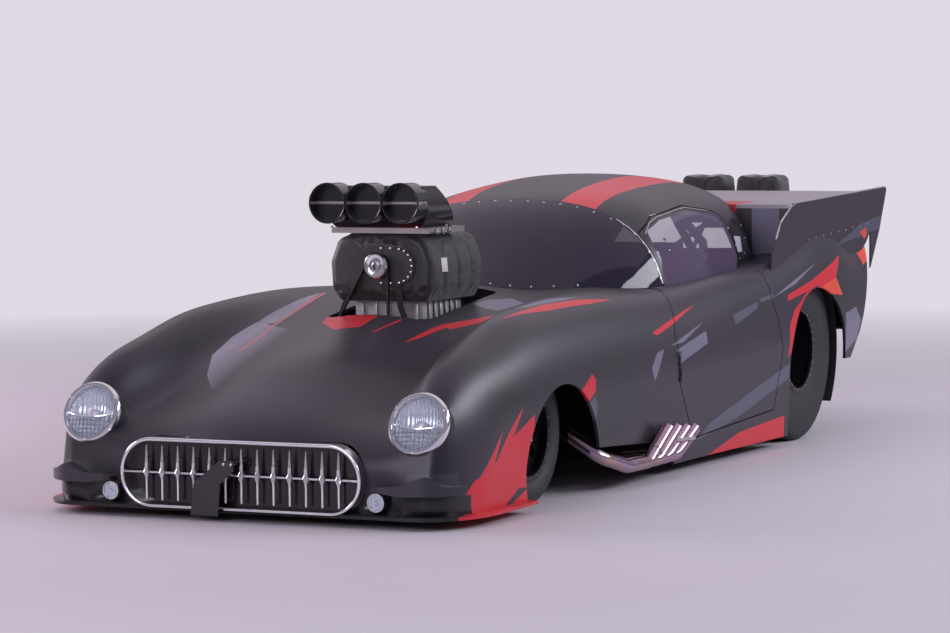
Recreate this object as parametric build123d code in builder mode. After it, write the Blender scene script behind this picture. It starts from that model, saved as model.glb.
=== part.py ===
"""Drag racing car: a supercharged door car with a roadster-style body, +X forward, +Y left, +Z up, in mm.

Stations are written as (ahead, side, up): ahead of the front axle, left of the centre line and above
the ground. The frame's origin lies on the ground under the middle of the whole length.
"""
import os
from math import cos, radians, sin

from build123d import *

os.makedirs("parts", exist_ok=True)

# Wheels and stance
wheelbase = 2921
front_tyre_radius = 286
front_tyre_width = 118
front_bead_radius = 196
front_track = 1520
rear_tyre_radius = 438
rear_tyre_width = 420
rear_bead_radius = 210
rear_track = 1408

# Overall reach and the place of the front axle
splitter_reach = 1006
wheelie_axle_behind = 1590
wheelie_wheel_radius = 55
rear_reach = wheelbase + wheelie_axle_behind + wheelie_wheel_radius
front_axle_x = (rear_reach - splitter_reach) / 2

# Body panels
sill_z = 50
skin = 14
pane = 5
panel_gap = 6
seam = 0.5
touch = 0.3
clip_seam_ahead = -1430
windscreen_ahead = -1605

# Steering
kingpin_side = 660
kingpin_up = 150
kingpin_tilt = 8
steering_arm = 110

# Doors
door_hinge_ahead = -1293
door_hinge_side = 949
door_hinge_ups = [428, 498]
hinge_barrel = 22
hinge_radius = 5
hinge_leaf = 12


def at(ahead, side, up):
    """Point of the frame for a station of the car."""
    return Vector(front_axle_x + ahead, side, up)


def cross_plane(ahead):
    """Plane across the car: its x is to the left and its y is up."""
    return Plane(origin=at(ahead, 0, 0), x_dir=(0, 1, 0), z_dir=(1, 0, 0))


def side_plane(side=0):
    """Plane along the car: its x is forward and its y is up, measured from the front axle."""
    return Plane(origin=at(0, side, 0), x_dir=(1, 0, 0), z_dir=(0, -1, 0))


def top_plane(up):
    """Plane seen from above: its x is forward and its y is to the left."""
    return Plane(origin=at(0, 0, up), x_dir=(1, 0, 0), z_dir=(0, 0, 1))


def save(part, name):
    """Label one finished piece and write its file."""
    part.label = name
    export_step(part, f"parts/{name}.step")


def save_pair(left_part, name):
    """Write a left-hand piece and its mirror image."""
    save(left_part, f"{name}_left")
    save(mirror(left_part, about=Plane.XZ), f"{name}_right")


def rod(start, end, radius, mode=Mode.ADD):
    """Round bar between two points, added to the part in hand or cut from it."""
    run = Vector(end) - Vector(start)
    with BuildSketch(Plane(origin=start, z_dir=run)) as section:
        Circle(radius)
    extrude(section.sketch, amount=run.length, mode=mode)


def pipe_run(points, radius, bend):
    """Round tube through points with tangent bends, added to the part in hand."""
    with BuildLine() as route:
        FilletPolyline(*points, radius=bend)
    start = route.line @ 0
    with BuildSketch(Plane(origin=start, z_dir=route.line % 0)) as section:
        Circle(radius)
    sweep(section.sketch, path=route.line)


def between(start, end, share):
    """Point part of the way from a station to another."""
    return tuple(a + share * (b - a) for a, b in zip(start, end))


def side_prism(points, corner, near, far, grow=0):
    """Solid whose outline is drawn in side view, between two distances left of the centre line."""
    with BuildPart() as prism:
        with BuildSketch(side_plane(far)):
            with BuildLine():
                FilletPolyline(*points, radius=corner, close=True)
            make_face()
            if grow:
                offset(amount=grow)
        extrude(amount=far - near)
    return prism.part


# Body ribs from nose to tail. Lean tips a rib forward about a line across the nose, low starts it
# off that line, and each reach is measured in the rib's plane from the sill line:
# lean, ahead, low, low_y, side_y, side, crown_y, crown, valley_y, valley, centre
nose_ahead = 150
nose_low = 80
body_ribs = [
    (90, nose_ahead, nose_low, 915, 928, 500, 775, 800, 500, 800, 805),
    (80, nose_ahead, nose_low, 915, 930, 500, 790, 802, 500, 800, 824),
    (70, nose_ahead, nose_low, 915, 930, 500, 795, 808, 520, 785, 838),
    (59, nose_ahead, nose_low, 915, 926, 480, 788, 822, 530, 690, 758),
    (46, nose_ahead, nose_low, 915, 920, 450, 750, 785, 520, 600, 672),
    (25, nose_ahead, nose_low, 920, 924, 400, 722, 702, 500, 550, 618),
    (0, nose_ahead, nose_low, 925, 930, 370, 710, 710, 490, 570, 625),
    (0, -100, 0, 925, 935, 380, 705, 742, 470, 640, 680),
    (0, -450, 0, 930, 937, 390, 700, 765, 450, 690, 740),
    (0, -950, 0, 935, 942, 400, 710, 768, 450, 750, 790),
    (0, -1450, 0, 938, 947, 400, 740, 756, 450, 782, 810),
    (0, -2000, 0, 945, 955, 420, 795, 778, 450, 790, 820),
    (0, -2500, 0, 953, 968, 450, 840, 806, 450, 780, 800),
    (0, -2850, 0, 958, 980, 470, 856, 868, 450, 820, 840),
    (0, -3450, 0, 952, 982, 500, 868, 910, 450, 880, 890),
    (0, -4010, 0, 915, 960, 520, 868, 950, 450, 930, 940),
]


def rib_plane(lean, ahead):
    """Plane of one body rib, tipped forward by its lean."""
    angle = radians(lean)
    return Plane(origin=at(ahead, 0, sill_z), x_dir=(0, 1, 0), z_dir=(cos(angle), 0, -sin(angle)))


def rib_points(row, inset):
    """Sill, side, crown, valley and centre points of a rib, moved in by the inset."""
    low, low_y, side_y, side, crown_y, crown, valley_y, valley, centre = row[2:]
    return [
        (low_y - inset, low),
        (side_y - inset, side),
        (crown_y, crown - inset),
        (valley_y, valley - inset),
        (0, centre - inset),
    ]


def draw_rib(points):
    """Side, fender crown, valley and hood of a rib as one smooth line."""
    sill, side, crown, valley, centre = points
    width = side[0] - crown[0]
    Line(sill, side)
    Bezier(side, (side[0], side[1] + 0.55 * (crown[1] - side[1])), (crown[0] + 0.55 * width, crown[1]), crown)
    reach = 0.45 * (crown[0] - valley[0])
    Bezier(crown, (crown[0] - reach, crown[1]), (valley[0] + reach, valley[1]), valley)
    Bezier(valley, (0.55 * valley[0], valley[1]), (0.45 * valley[0], centre[1]), centre)


def body_half(rows, outer, inner=None):
    """Left half of the body between two insets, or filled down to the sill line."""
    with BuildPart() as half:
        for row in rows:
            outside = rib_points(row, outer)
            with BuildSketch(rib_plane(row[0], row[1])):
                with BuildLine():
                    draw_rib(outside)
                    if inner is None:
                        Polyline(outside[-1], (0, row[2]), outside[0])
                    else:
                        inside = rib_points(row, inner)
                        Line(outside[-1], inside[-1])
                        draw_rib(inside)
                        Line(inside[0], outside[0])
                make_face()
        loft()
    return half.part


def whole(half_part):
    """A left half and its mirror image, joined."""
    with BuildPart() as both:
        add(half_part)
        mirror(about=Plane.XZ)
    return both.part


# Greenhouse arches from the cowl to the tail of the roof, each one curve from belt to roof:
# ahead, belt_y, side_y, side_up, roof_y, roof_up
belt_up = 700
roof_arches = [
    (-880, 220, 150, 760, 80, 800),
    (-1000, 420, 300, 800, 160, 872),
    (-1200, 575, 500, 880, 300, 991),
    (-1450, 715, 682, 980, 455, 1140),
    (-1650, 762, 738, 1070, 525, 1215),
    (-2000, 778, 758, 1120, 555, 1275),
    (-2350, 765, 750, 1140, 550, 1300),
    (-2700, 748, 728, 1148, 578, 1284),
    (-3000, 672, 648, 1102, 530, 1238),
    (-3300, 565, 528, 1010, 425, 1158),
    (-3550, 480, 430, 950, 300, 1090),
]


def greenhouse(inset):
    """Filled greenhouse, moved in by the inset."""
    with BuildPart() as half:
        for ahead, belt_y, side_y, side_up, roof_y, roof_up in roof_arches:
            top = roof_up - inset
            with BuildSketch(cross_plane(ahead)):
                with BuildLine():
                    belt = (belt_y - inset, belt_up)
                    Bezier(belt, (side_y - inset, side_up - inset), (roof_y, top), (0, top))
                    Polyline((0, top), (0, belt_up), belt)
                make_face()
        loft()
    return whole(half.part)


# Side outlines as (ahead, up)
door_outline = [
    (-1450, 140), (-1290, 400), (-1288, 620), (-1430, 790), (-1600, 845), (-1600, 1045), (-1795, 1122),
    (-2200, 1158), (-2405, 1134), (-2506, 1116), (-2538, 903), (-2510, 846), (-2464, 836), (-2455, 700),
    (-2532, 465), (-2435, 188),
]
door_fillet = 36
window_outline = [
    (-1645, 700), (-1628, 873), (-1638, 971), (-1670, 1056), (-1828, 1100), (-2200, 1136), (-2400, 1114),
    (-2490, 1098), (-2522, 905), (-2490, 862), (-2478, 700),
]
window_fillet = 45
tail_outline = [
    (-3250, -100), (-3250, 365), (-3486, 365), (-3637, 491), (-3741, 643), (-3880, 850),
    (-3950, 965), (-3960, 1100), (-4300, 1100), (-4300, -100),
]

front_arch_ahead = -80
front_arch_up = 137
front_arch_radius = 352
rear_arch_ahead = -3010
rear_arch_up = 350
rear_arch_radius = 386
arch_near = 600
body_far = 1100

# Frame stations that the tail panel is cut for
tail_upper = (-3330, 330, 640)
tail_lower = (-3380, 300, 200)
pack_mount = (-4330, 150, 985)
pack_strut_radius = 14

body_skin = whole(body_half(body_ribs, 0, skin))
roof_outer = greenhouse(0)
roof_inner = greenhouse(skin)
roof_lining = greenhouse(skin / 2)
roof_clearance = greenhouse(-seam)
body_filled = whole(body_half(body_ribs, -seam))
body_lining = whole(body_half(body_ribs, skin / 2))
body_interior = whole(body_half(body_ribs, skin + touch))

with BuildPart() as roof_skin:
    add(roof_outer)
    add(roof_inner, mode=Mode.SUBTRACT)
    add(body_lining, mode=Mode.SUBTRACT)

with BuildPart() as roof_glazing:
    add(roof_outer)
    add(greenhouse(pane), mode=Mode.SUBTRACT)


def round_arch(ahead, up, radius):
    """Wheel arch cutter on both sides of the car."""
    with BuildPart() as cutter:
        with BuildSketch(side_plane(arch_near), side_plane(-body_far)):
            with Locations((ahead, up)):
                Circle(radius)
        extrude(amount=-(body_far - arch_near))
    return cutter.part


def both_sides(points, corner):
    """Side outline cut through the left and the right of the body."""
    left = side_prism(points, corner, 300, body_far)
    return [left, mirror(left, about=Plane.XZ, mode=Mode.PRIVATE)]


def block(ahead, side, up):
    """Box between two stations given as (low, high) pairs."""
    lows = at(ahead[0], side[0], up[0])
    sizes = (ahead[1] - ahead[0], side[1] - side[0], up[1] - up[0])
    return Pos(lows) * Box(*sizes, align=(Align.MIN,) * 3, mode=Mode.PRIVATE)


front_arch = round_arch(front_arch_ahead, front_arch_up, front_arch_radius)
rear_arch = round_arch(rear_arch_ahead, rear_arch_up, rear_arch_radius)
rear_arch_foot = [
    block((-3400, rear_arch_ahead + rear_arch_radius), (arch_near, body_far), (-100, rear_arch_up)),
    block((-3400, rear_arch_ahead + rear_arch_radius), (-body_far, -arch_near), (-100, rear_arch_up)),
]
with BuildPart() as tail_cutter:
    with BuildSketch(side_plane(-body_far)):
        with BuildLine():
            Polyline(*tail_outline, close=True)
        make_face()
    extrude(amount=-2 * body_far)

# Tail panel: a sheet that follows the tail outline from quarter to quarter
tail_panel_outline = [
    (-3627, 500), (-3727, 650), (-3866, 855), (-3934, 965),
    (-3949, 965), (-3880, 852), (-3742, 645), (-3638, 493),
]
with BuildPart() as tail_panel:
    with BuildSketch(side_plane(-body_far)):
        with BuildLine():
            Polyline(*tail_panel_outline, close=True)
        make_face()
    extrude(amount=-2 * body_far)
    add(body_lining, mode=Mode.INTERSECT)

with BuildPart() as cabin:
    add(body_skin)
    add(block((-5000, -600), (-body_far, body_far), (-100, 1500)), mode=Mode.INTERSECT)
    add(roof_lining, mode=Mode.SUBTRACT)
    add(tail_cutter.part, mode=Mode.SUBTRACT)
    add(tail_panel.part)
    add(roof_skin.part)
    add(rear_arch, mode=Mode.SUBTRACT)
    add(rear_arch_foot, mode=Mode.SUBTRACT)

rear_window_plan = [(-3010, -330), (-3010, 330), (-2730, 380), (-2730, -380)]


def rear_window_prism(grow=0):
    """Column above the rear window's outline."""
    with BuildPart() as prism:
        with BuildSketch(top_plane(1050)):
            with BuildLine():
                FilletPolyline(*rear_window_plan, radius=40, close=True)
            make_face()
            if grow:
                offset(amount=grow)
        extrude(amount=400)
    return prism.part


with BuildPart() as body_shell:
    add(cabin.part)
    add(block((clip_seam_ahead - seam, 0), (-body_far, body_far), (-100, 760)), mode=Mode.SUBTRACT)
    add(block((windscreen_ahead, 0), (-body_far, body_far), (700, 1500)), mode=Mode.SUBTRACT)
    add(both_sides(door_outline, door_fillet), mode=Mode.SUBTRACT)
    add(rear_window_prism(), mode=Mode.SUBTRACT)
    for hand in (-1, 1):
        rod(
            at(tail_upper[0], hand * tail_upper[1], tail_upper[2]),
            at(pack_mount[0], hand * pack_mount[1], pack_mount[2]),
            pack_strut_radius + 2,
            mode=Mode.SUBTRACT,
        )
save(body_shell.part, "body_shell")


def window_prism(grow):
    """Side window's outline, down to the belt where the body's shoulder begins."""
    with BuildPart() as prism:
        add(side_prism(window_outline, window_fillet, 300, body_far, grow))
        add(body_filled, mode=Mode.SUBTRACT)
    return prism.part


def hinge_knuckle(low, high, hand):
    """Hinge knuckle between two heights, with its leaf on the door's or the clip's side of the pin."""
    with BuildPart() as knuckle:
        pin = (door_hinge_ahead, door_hinge_side)
        rod(at(*pin, low), at(*pin, high), hinge_radius)
        ends = sorted([door_hinge_ahead, door_hinge_ahead + hand * hinge_leaf])
        add(block(ends, (door_hinge_side - 16, door_hinge_side + 1), (low, high)))
    return knuckle.part


hinge_low = door_hinge_ups[0] - hinge_barrel
hinge_high = door_hinge_ups[-1] + 2 * hinge_barrel
with BuildPart() as hinge_room:
    rod(
        at(door_hinge_ahead, door_hinge_side, hinge_low - 2),
        at(door_hinge_ahead, door_hinge_side, hinge_high + 2),
        hinge_radius + 1,
    )
with BuildPart() as screen_room:
    add(greenhouse(-panel_gap))
    add(block((windscreen_ahead - panel_gap, 0), (-body_far, body_far), (600, 1500)), mode=Mode.INTERSECT)

with BuildPart() as door:
    add(cabin.part)
    add(side_prism(door_outline, door_fillet, 300, body_far, -panel_gap), mode=Mode.INTERSECT)
    add(window_prism(0), mode=Mode.SUBTRACT)
    add(screen_room.part, mode=Mode.SUBTRACT)
    add(hinge_room.part, mode=Mode.SUBTRACT)
    for up in door_hinge_ups:
        add(hinge_knuckle(up, up + hinge_barrel, -1))
save_pair(door.part, "door")

# Grille opening, as half-width, half-height and height of its centre
grille_half_width = 540
grille_half_height = 141
grille_up = 180
grille_front = 985
grille_back = 925
grille_rim = 15
lamp_ahead, lamp_side, lamp_up = 872, 738, 401
lamp_lift = 22
lamp_radius = 128
lamp_collar = 4
parking_side, parking_up = 596, 100
parking_radius = 36
engine_bay_plan = [(-192, 200), (-245, 250), (-900, 250), (-900, -250), (-245, -250), (-192, -200)]
header_slot = [(-400, -50), (-400, 198), (-620, 188), (-1000, 165), (-1235, 90), (-1235, -50)]
splitter_lip = 45
splitter_thickness = 13
bumper_lip = 42
bumper_root = -14
bumper_rear = 850
bumper_face = [
    (552, 150), (600, 162), (705, 168), (795, 206), (880, 168), (990, 166), (990, 136), (700, 130),
]
parking_front = 962

lamp_tilt = radians(lamp_lift)
lamp_plane = Plane(
    origin=at(lamp_ahead, lamp_side, lamp_up),
    x_dir=(0, 1, 0),
    z_dir=(cos(lamp_tilt), 0, sin(lamp_tilt)),
)


def nose_outline(inset):
    """Plan of the nose along its lowest rib, filled back to the axle, as a sketch on that rib."""
    row = body_ribs[0]
    points = rib_points(row, inset)
    with BuildSketch(rib_plane(row[0], row[1])) as plan:
        with BuildLine():
            draw_rib(points)
            Polyline(points[-1], (0, row[2]), points[0])
        make_face()
        mirror(about=Plane.YZ)
    return plan.sketch


def lamp_tube(outer, inner, low, high, plane=lamp_plane):
    """Ring about the headlamp's axis between two depths."""
    with BuildPart() as ring:
        with BuildSketch(plane.offset(low)):
            Circle(outer)
            if inner:
                Circle(inner, mode=Mode.SUBTRACT)
        extrude(amount=high - low)
    return ring.part


def grille_prism(half_width, half_height, back, front):
    """Long rounded bar across the nose."""
    with BuildPart() as bar:
        with BuildSketch(cross_plane(back)):
            with Locations((0, grille_up)):
                RectangleRounded(2 * half_width, 2 * half_height, half_height - 2)
        extrude(amount=front - back)
    return bar.part


with BuildPart() as bumper_band:
    extrude(nose_outline(-bumper_lip), amount=200, dir=(0, 0, 1))
    extrude(nose_outline(-bumper_root), amount=200, dir=(0, 0, 1), mode=Mode.SUBTRACT)
    with BuildPart(mode=Mode.INTERSECT) as bumper_front:
        with BuildSketch(cross_plane(bumper_rear)):
            with BuildLine():
                FilletPolyline(*bumper_face, radius=8, close=True)
            make_face()
        extrude(amount=400)

with BuildPart() as front_clip:
    add(body_skin)
    add(block((clip_seam_ahead, 1500), (-body_far, body_far), (-100, 1500)), mode=Mode.INTERSECT)
    add(roof_clearance, mode=Mode.SUBTRACT)
    for collar in [lamp_tube(lamp_radius + lamp_collar, None, -120, -12)]:
        add(collar)
        mirror(collar, about=Plane.XZ)
    rod(at(880, parking_side, parking_up), at(parking_front, parking_side, parking_up), parking_radius + 3)
    rod(at(880, -parking_side, parking_up), at(parking_front, -parking_side, parking_up), parking_radius + 3)
    add(bumper_band.part)
    mirror(bumper_band.part, about=Plane.XZ)
    for opening in [
        lamp_tube(lamp_radius - 16, None, -400, 200),
        lamp_tube(lamp_radius + seam, None, -11 - touch, 200),
    ]:
        add(opening, mode=Mode.SUBTRACT)
        mirror(opening, about=Plane.XZ, mode=Mode.SUBTRACT)
    extrude(nose_outline(-splitter_lip), amount=splitter_thickness, dir=(0, 0, -1))
    add(grille_prism(grille_half_width + seam, grille_half_height + seam, 800, 1100), mode=Mode.SUBTRACT)
    add(front_arch, mode=Mode.SUBTRACT)
    add(both_sides(door_outline, door_fillet), mode=Mode.SUBTRACT)
    add(both_sides(header_slot, 12), mode=Mode.SUBTRACT)
    with BuildSketch(top_plane(550)):
        with BuildLine():
            FilletPolyline(*engine_bay_plan, radius=30, close=True)
        make_face()
    extrude(amount=500, mode=Mode.SUBTRACT)
    add(hinge_room.part, mode=Mode.SUBTRACT)
    mirror(hinge_room.part, about=Plane.XZ, mode=Mode.SUBTRACT)
    for up in door_hinge_ups:
        above = up + hinge_barrel + touch
        for low, high in ((up - hinge_barrel, up - touch), (above, up + 2 * hinge_barrel)):
            clip_knuckle = hinge_knuckle(low, high, 1)
            add(clip_knuckle)
            mirror(clip_knuckle, about=Plane.XZ)
save(front_clip.part, "front_clip")

# Glass
with BuildPart() as windscreen:
    add(roof_glazing.part)
    add(block((windscreen_ahead, 0), (-body_far, body_far), (600, 1500)), mode=Mode.INTERSECT)
    add(body_filled, mode=Mode.SUBTRACT)
save(windscreen.part, "windscreen")

with BuildPart() as door_window:
    add(roof_glazing.part)
    add(window_prism(-0.2), mode=Mode.INTERSECT)
save_pair(door_window.part, "door_window")

with BuildPart() as rear_window:
    add(roof_glazing.part)
    add(rear_window_prism(-0.2), mode=Mode.INTERSECT)
save(rear_window.part, "rear_window")

# Tail deck between the spill plates, drawn as one bent sheet in side view
deck_side = 887
deck_sheet = 10
deck_outline = [
    (-2820, 800), (-2820, 1143), (-4120, 1176), (-4120, 1110), (-4110, 1110), (-4110, 1165.5), (-2830, 1133),
    (-2830, 800),
]
with BuildPart() as rear_deck:
    with BuildSketch(side_plane(deck_side)):
        with BuildLine():
            Polyline(*deck_outline, close=True)
        make_face()
    extrude(amount=2 * deck_side)
    add(roof_clearance, mode=Mode.SUBTRACT)
    add(body_filled, mode=Mode.SUBTRACT)
save(rear_deck.part, "rear_deck")

spill_plate_sheet = 7
spill_outline = [
    (-2560, 780), (-2590, 918), (-2700, 1060), (-2880, 1148), (-4252, 1196), (-4264, 1180), (-4155, 980),
    (-3990, 760), (-3800, 720),
]
with BuildPart() as spill_plate:
    with BuildSketch(side_plane(deck_side + spill_plate_sheet)):
        with BuildLine():
            FilletPolyline(*spill_outline, radius=12, close=True)
        make_face()
    extrude(amount=spill_plate_sheet)
    add(body_filled, mode=Mode.SUBTRACT)
save_pair(spill_plate.part, "spill_plate")

# Grille: a chrome surround, a thin bar and a row of turned teeth on a dark panel
tooth_count = 13
tooth_pitch = 72
tooth_ahead = 958
tooth_profile = [(0, -112), (5, -110), (5, -30), (7, -22), (17, 0), (9, 16), (8, 40), (2, 108), (0, 108)]
tooth_stud_ups = [-100, 60]
stud_radius = 3
grille_panel_sheet = 6
grille_bar_radius = 5
with BuildPart() as grille:
    add(grille_prism(grille_half_width, grille_half_height, grille_back, grille_front))
    add(
        grille_prism(
            grille_half_width - grille_rim,
            grille_half_height - grille_rim,
            grille_back + grille_panel_sheet,
            grille_front + 1,
        ),
        mode=Mode.SUBTRACT,
    )
    fillet(grille.faces().sort_by(Axis.X)[-1].edges(), 6)
    bar_end = grille_half_width - grille_rim / 2
    rod(at(tooth_ahead, -bar_end, grille_up), at(tooth_ahead, bar_end, grille_up), grille_bar_radius)
    for index in range(tooth_count):
        side = (index - (tooth_count - 1) / 2) * tooth_pitch
        foot = at(tooth_ahead, side, grille_up)
        with BuildSketch(Plane(origin=foot, x_dir=(1, 0, 0), z_dir=(0, -1, 0))):
            with BuildLine():
                Polyline(*tooth_profile, close=True)
            make_face()
        revolve(axis=Axis(foot, (0, 0, 1)))
        for stud_up in tooth_stud_ups:
            rod(foot + Vector(0, 0, stud_up), at(grille_back + 3, side, grille_up + stud_up), stud_radius)
save(grille.part, "grille")

# Headlamps: bezel ring, domed lens and the bucket behind it
bezel_front = 9
bezel_back = -11
bezel_width = 17
lens_dome = 16
bucket_depth = 60
bucket_radius = 60
lens_edge = lamp_radius - bezel_width + 1
lens_curve = (lens_edge**2 + lens_dome**2) / (2 * lens_dome)
lens_half = lens_edge / 2
lens_half_rise = lens_dome - lens_curve + (lens_curve**2 - lens_half**2) ** 0.5
lamp_section = Plane(
    origin=lamp_plane.origin,
    x_dir=lamp_plane.x_dir,
    z_dir=lamp_plane.x_dir.cross(lamp_plane.z_dir),
)
with BuildPart() as headlamp:
    with BuildSketch(lamp_section):
        with BuildLine():
            ThreePointArc((0, lens_dome), (lens_half, lens_half_rise), (lens_edge, 0))
            Polyline(
                (lens_edge, 0), (lens_edge, bezel_front - 4), (lens_edge + 4, bezel_front),
                (lamp_radius - 5, bezel_front), (lamp_radius, bezel_front - 6), (lamp_radius, bezel_back),
                (lens_edge, bezel_back), (bucket_radius, -bucket_depth), (0, -bucket_depth), (0, lens_dome),
            )
        make_face()
    revolve(axis=Axis(lamp_plane.origin, lamp_plane.z_dir))
save_pair(headlamp.part, "headlamp")

# Parking lamps on their bosses beside the grille
parking_lens = 10
with BuildPart() as parking_lamp:
    with BuildSketch(cross_plane(parking_front + touch)):
        with Locations((parking_side, parking_up)):
            Circle(parking_radius)
    extrude(amount=parking_lens)
    fillet(parking_lamp.faces().sort_by(Axis.X)[-1].edges(), parking_lens - 2)
save_pair(parking_lamp.part, "parking_lamp")

# Timing plate hung before the grille on two studs
plate_points = [(-10, 245), (-75, 240), (-190, 150), (-205, 22), (-80, 22), (-70, 150), (-10, 205)]
plate_sheet = 5
plate_stud_sides = [-54, -20]
plate_stud_up = 228
plate_stud_radius = 5
with BuildPart() as timing_plate:
    with BuildSketch(cross_plane(splitter_reach - plate_sheet)):
        with BuildLine():
            Polyline(*plate_points, close=True)
        make_face()
    extrude(amount=plate_sheet)
    for stud_side in plate_stud_sides:
        rod(
            at(splitter_reach - plate_sheet, stud_side, plate_stud_up),
            at(grille_back + grille_panel_sheet + touch, stud_side, plate_stud_up),
            plate_stud_radius,
        )
save(timing_plate.part, "timing_plate")


def tyre(ahead, side, radius, width, bead_radius, shoulder, bulge):
    """Tyre with a flat tread, round shoulders and a bulged sidewall."""
    half = width / 2
    tread = half - shoulder
    drop = shoulder * (1 - 0.5**0.5)
    middle = (radius - shoulder + bead_radius) / 2
    bead_side = half - 12
    with BuildPart() as ring:
        with BuildSketch(Plane(origin=at(ahead, side, radius), x_dir=(0, 1, 0), z_dir=(1, 0, 0))):
            with BuildLine():
                Line((-tread, radius), (tread, radius))
                ThreePointArc((tread, radius), (half - drop, radius - drop), (half, radius - shoulder))
                ThreePointArc((half, radius - shoulder), (half + bulge, middle), (bead_side, bead_radius))
                Line((bead_side, bead_radius), (-bead_side, bead_radius))
                ThreePointArc((-bead_side, bead_radius), (-half - bulge, middle), (-half, radius - shoulder))
                ThreePointArc((-half, radius - shoulder), (-half + drop, radius - drop), (-tread, radius))
            make_face()
        revolve(axis=Axis(at(ahead, side, radius), (0, 1, 0)))
    return ring.part


def rim(ahead, side, up, bead_radius, width, dish, spokes, hub_radius, bore):
    """Racing wheel: barrel, bolted outer ring, spoked disc set in from the face, and hub."""
    half = width / 2
    outer = bead_radius - seam / 2
    barrel = outer - 9
    centre = at(ahead, side, up)
    slot_length = (barrel - hub_radius) * 0.72
    slot_width = 2.2 * barrel / spokes
    with BuildPart() as wheel:
        with BuildSketch(Plane(origin=centre, x_dir=(0, 1, 0), z_dir=(1, 0, 0))):
            with BuildLine():
                Polyline(
                    (-half, outer), (half, outer), (half, barrel - 14), (half - 14, barrel - 14),
                    (half - 26, barrel), (-half + 8, barrel), (-half + 8, barrel - 4), (-half, barrel - 4),
                    close=True,
                )
            make_face()
        revolve(axis=Axis(centre, (0, 1, 0)))
        disc = Plane(origin=centre + Vector(0, half - dish, 0), x_dir=(1, 0, 0), z_dir=(0, -1, 0))
        with BuildSketch(disc):
            Circle(barrel + 2)
            with PolarLocations((hub_radius + barrel) / 2, spokes):
                SlotOverall(slot_length, slot_width, mode=Mode.SUBTRACT)
            Circle(bore, mode=Mode.SUBTRACT)
        extrude(amount=12)
        with BuildSketch(disc.offset(-16)):
            Circle(hub_radius)
            Circle(bore, mode=Mode.SUBTRACT)
        extrude(amount=60)
    return wheel.part


# Front wheels, knuckles and struts
front_side = front_track / 2
front_rim_width = front_tyre_width - 18
front_hub_radius = 55
front_wheel_dish = 46
spindle_radius = 22
running_gap = 0.3
save_pair(tyre(0, front_side, front_tyre_radius, front_tyre_width, front_bead_radius, 22, 3), "front_tyre")
save_pair(
    rim(
        0, front_side, front_tyre_radius, front_bead_radius, front_rim_width, front_wheel_dish, 10,
        front_hub_radius, spindle_radius + running_gap,
    ),
    "front_rim",
)

kingpin = radians(kingpin_tilt)
kingpin_axis = Vector(0, -sin(kingpin), cos(kingpin))
ball = at(0, kingpin_side, kingpin_up)
strut_length = 480
strut_top = ball + kingpin_axis * strut_length
carrier_radius = 40
arm_side = kingpin_side - 14
arm_up = kingpin_up + 48
arm_pin_radius = 9
arm_pin_drop = 15
with BuildPart() as knuckle:
    rod(ball + kingpin_axis * 12, strut_top, 21)
    rod(ball + kingpin_axis * 150, ball + kingpin_axis * 390, 32)
    rod(at(0, kingpin_side - 8, front_tyre_radius), at(0, front_side + 14, front_tyre_radius), spindle_radius)
    rod(at(0, kingpin_side - 8, front_tyre_radius), at(0, front_side - 50, front_tyre_radius), carrier_radius)
    rod(ball, ball + kingpin_axis * 14, arm_pin_radius)
    rod(ball + kingpin_axis * 20, at(steering_arm, arm_side, arm_up - 27), 10)
    arm_pin = (steering_arm, arm_side)
    rod(at(*arm_pin, arm_up - 34), at(*arm_pin, arm_up - arm_pin_drop), arm_pin_radius)
save_pair(knuckle.part, "knuckle")

# Rear wheels on one solid spool
rear_side = rear_track / 2
rear_rim_width = rear_tyre_width - 20
rear_hub_radius = 80
rear_wheel_dish = 170
axle_shaft_radius = 24
axle_tube_end = 450
save_pair(
    tyre(-wheelbase, rear_side, rear_tyre_radius, rear_tyre_width, rear_bead_radius, 40, 6),
    "rear_tyre",
)
with BuildPart() as rear_rim:
    add(
        rim(
            -wheelbase, rear_side, rear_tyre_radius, rear_bead_radius, rear_rim_width, rear_wheel_dish, 10,
            rear_hub_radius, axle_shaft_radius - 1,
        )
    )
    rod(
        at(-wheelbase, axle_tube_end + touch, rear_tyre_radius),
        at(-wheelbase, rear_side + 50, rear_tyre_radius),
        axle_shaft_radius,
    )
save_pair(rear_rim.part, "rear_rim")

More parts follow.
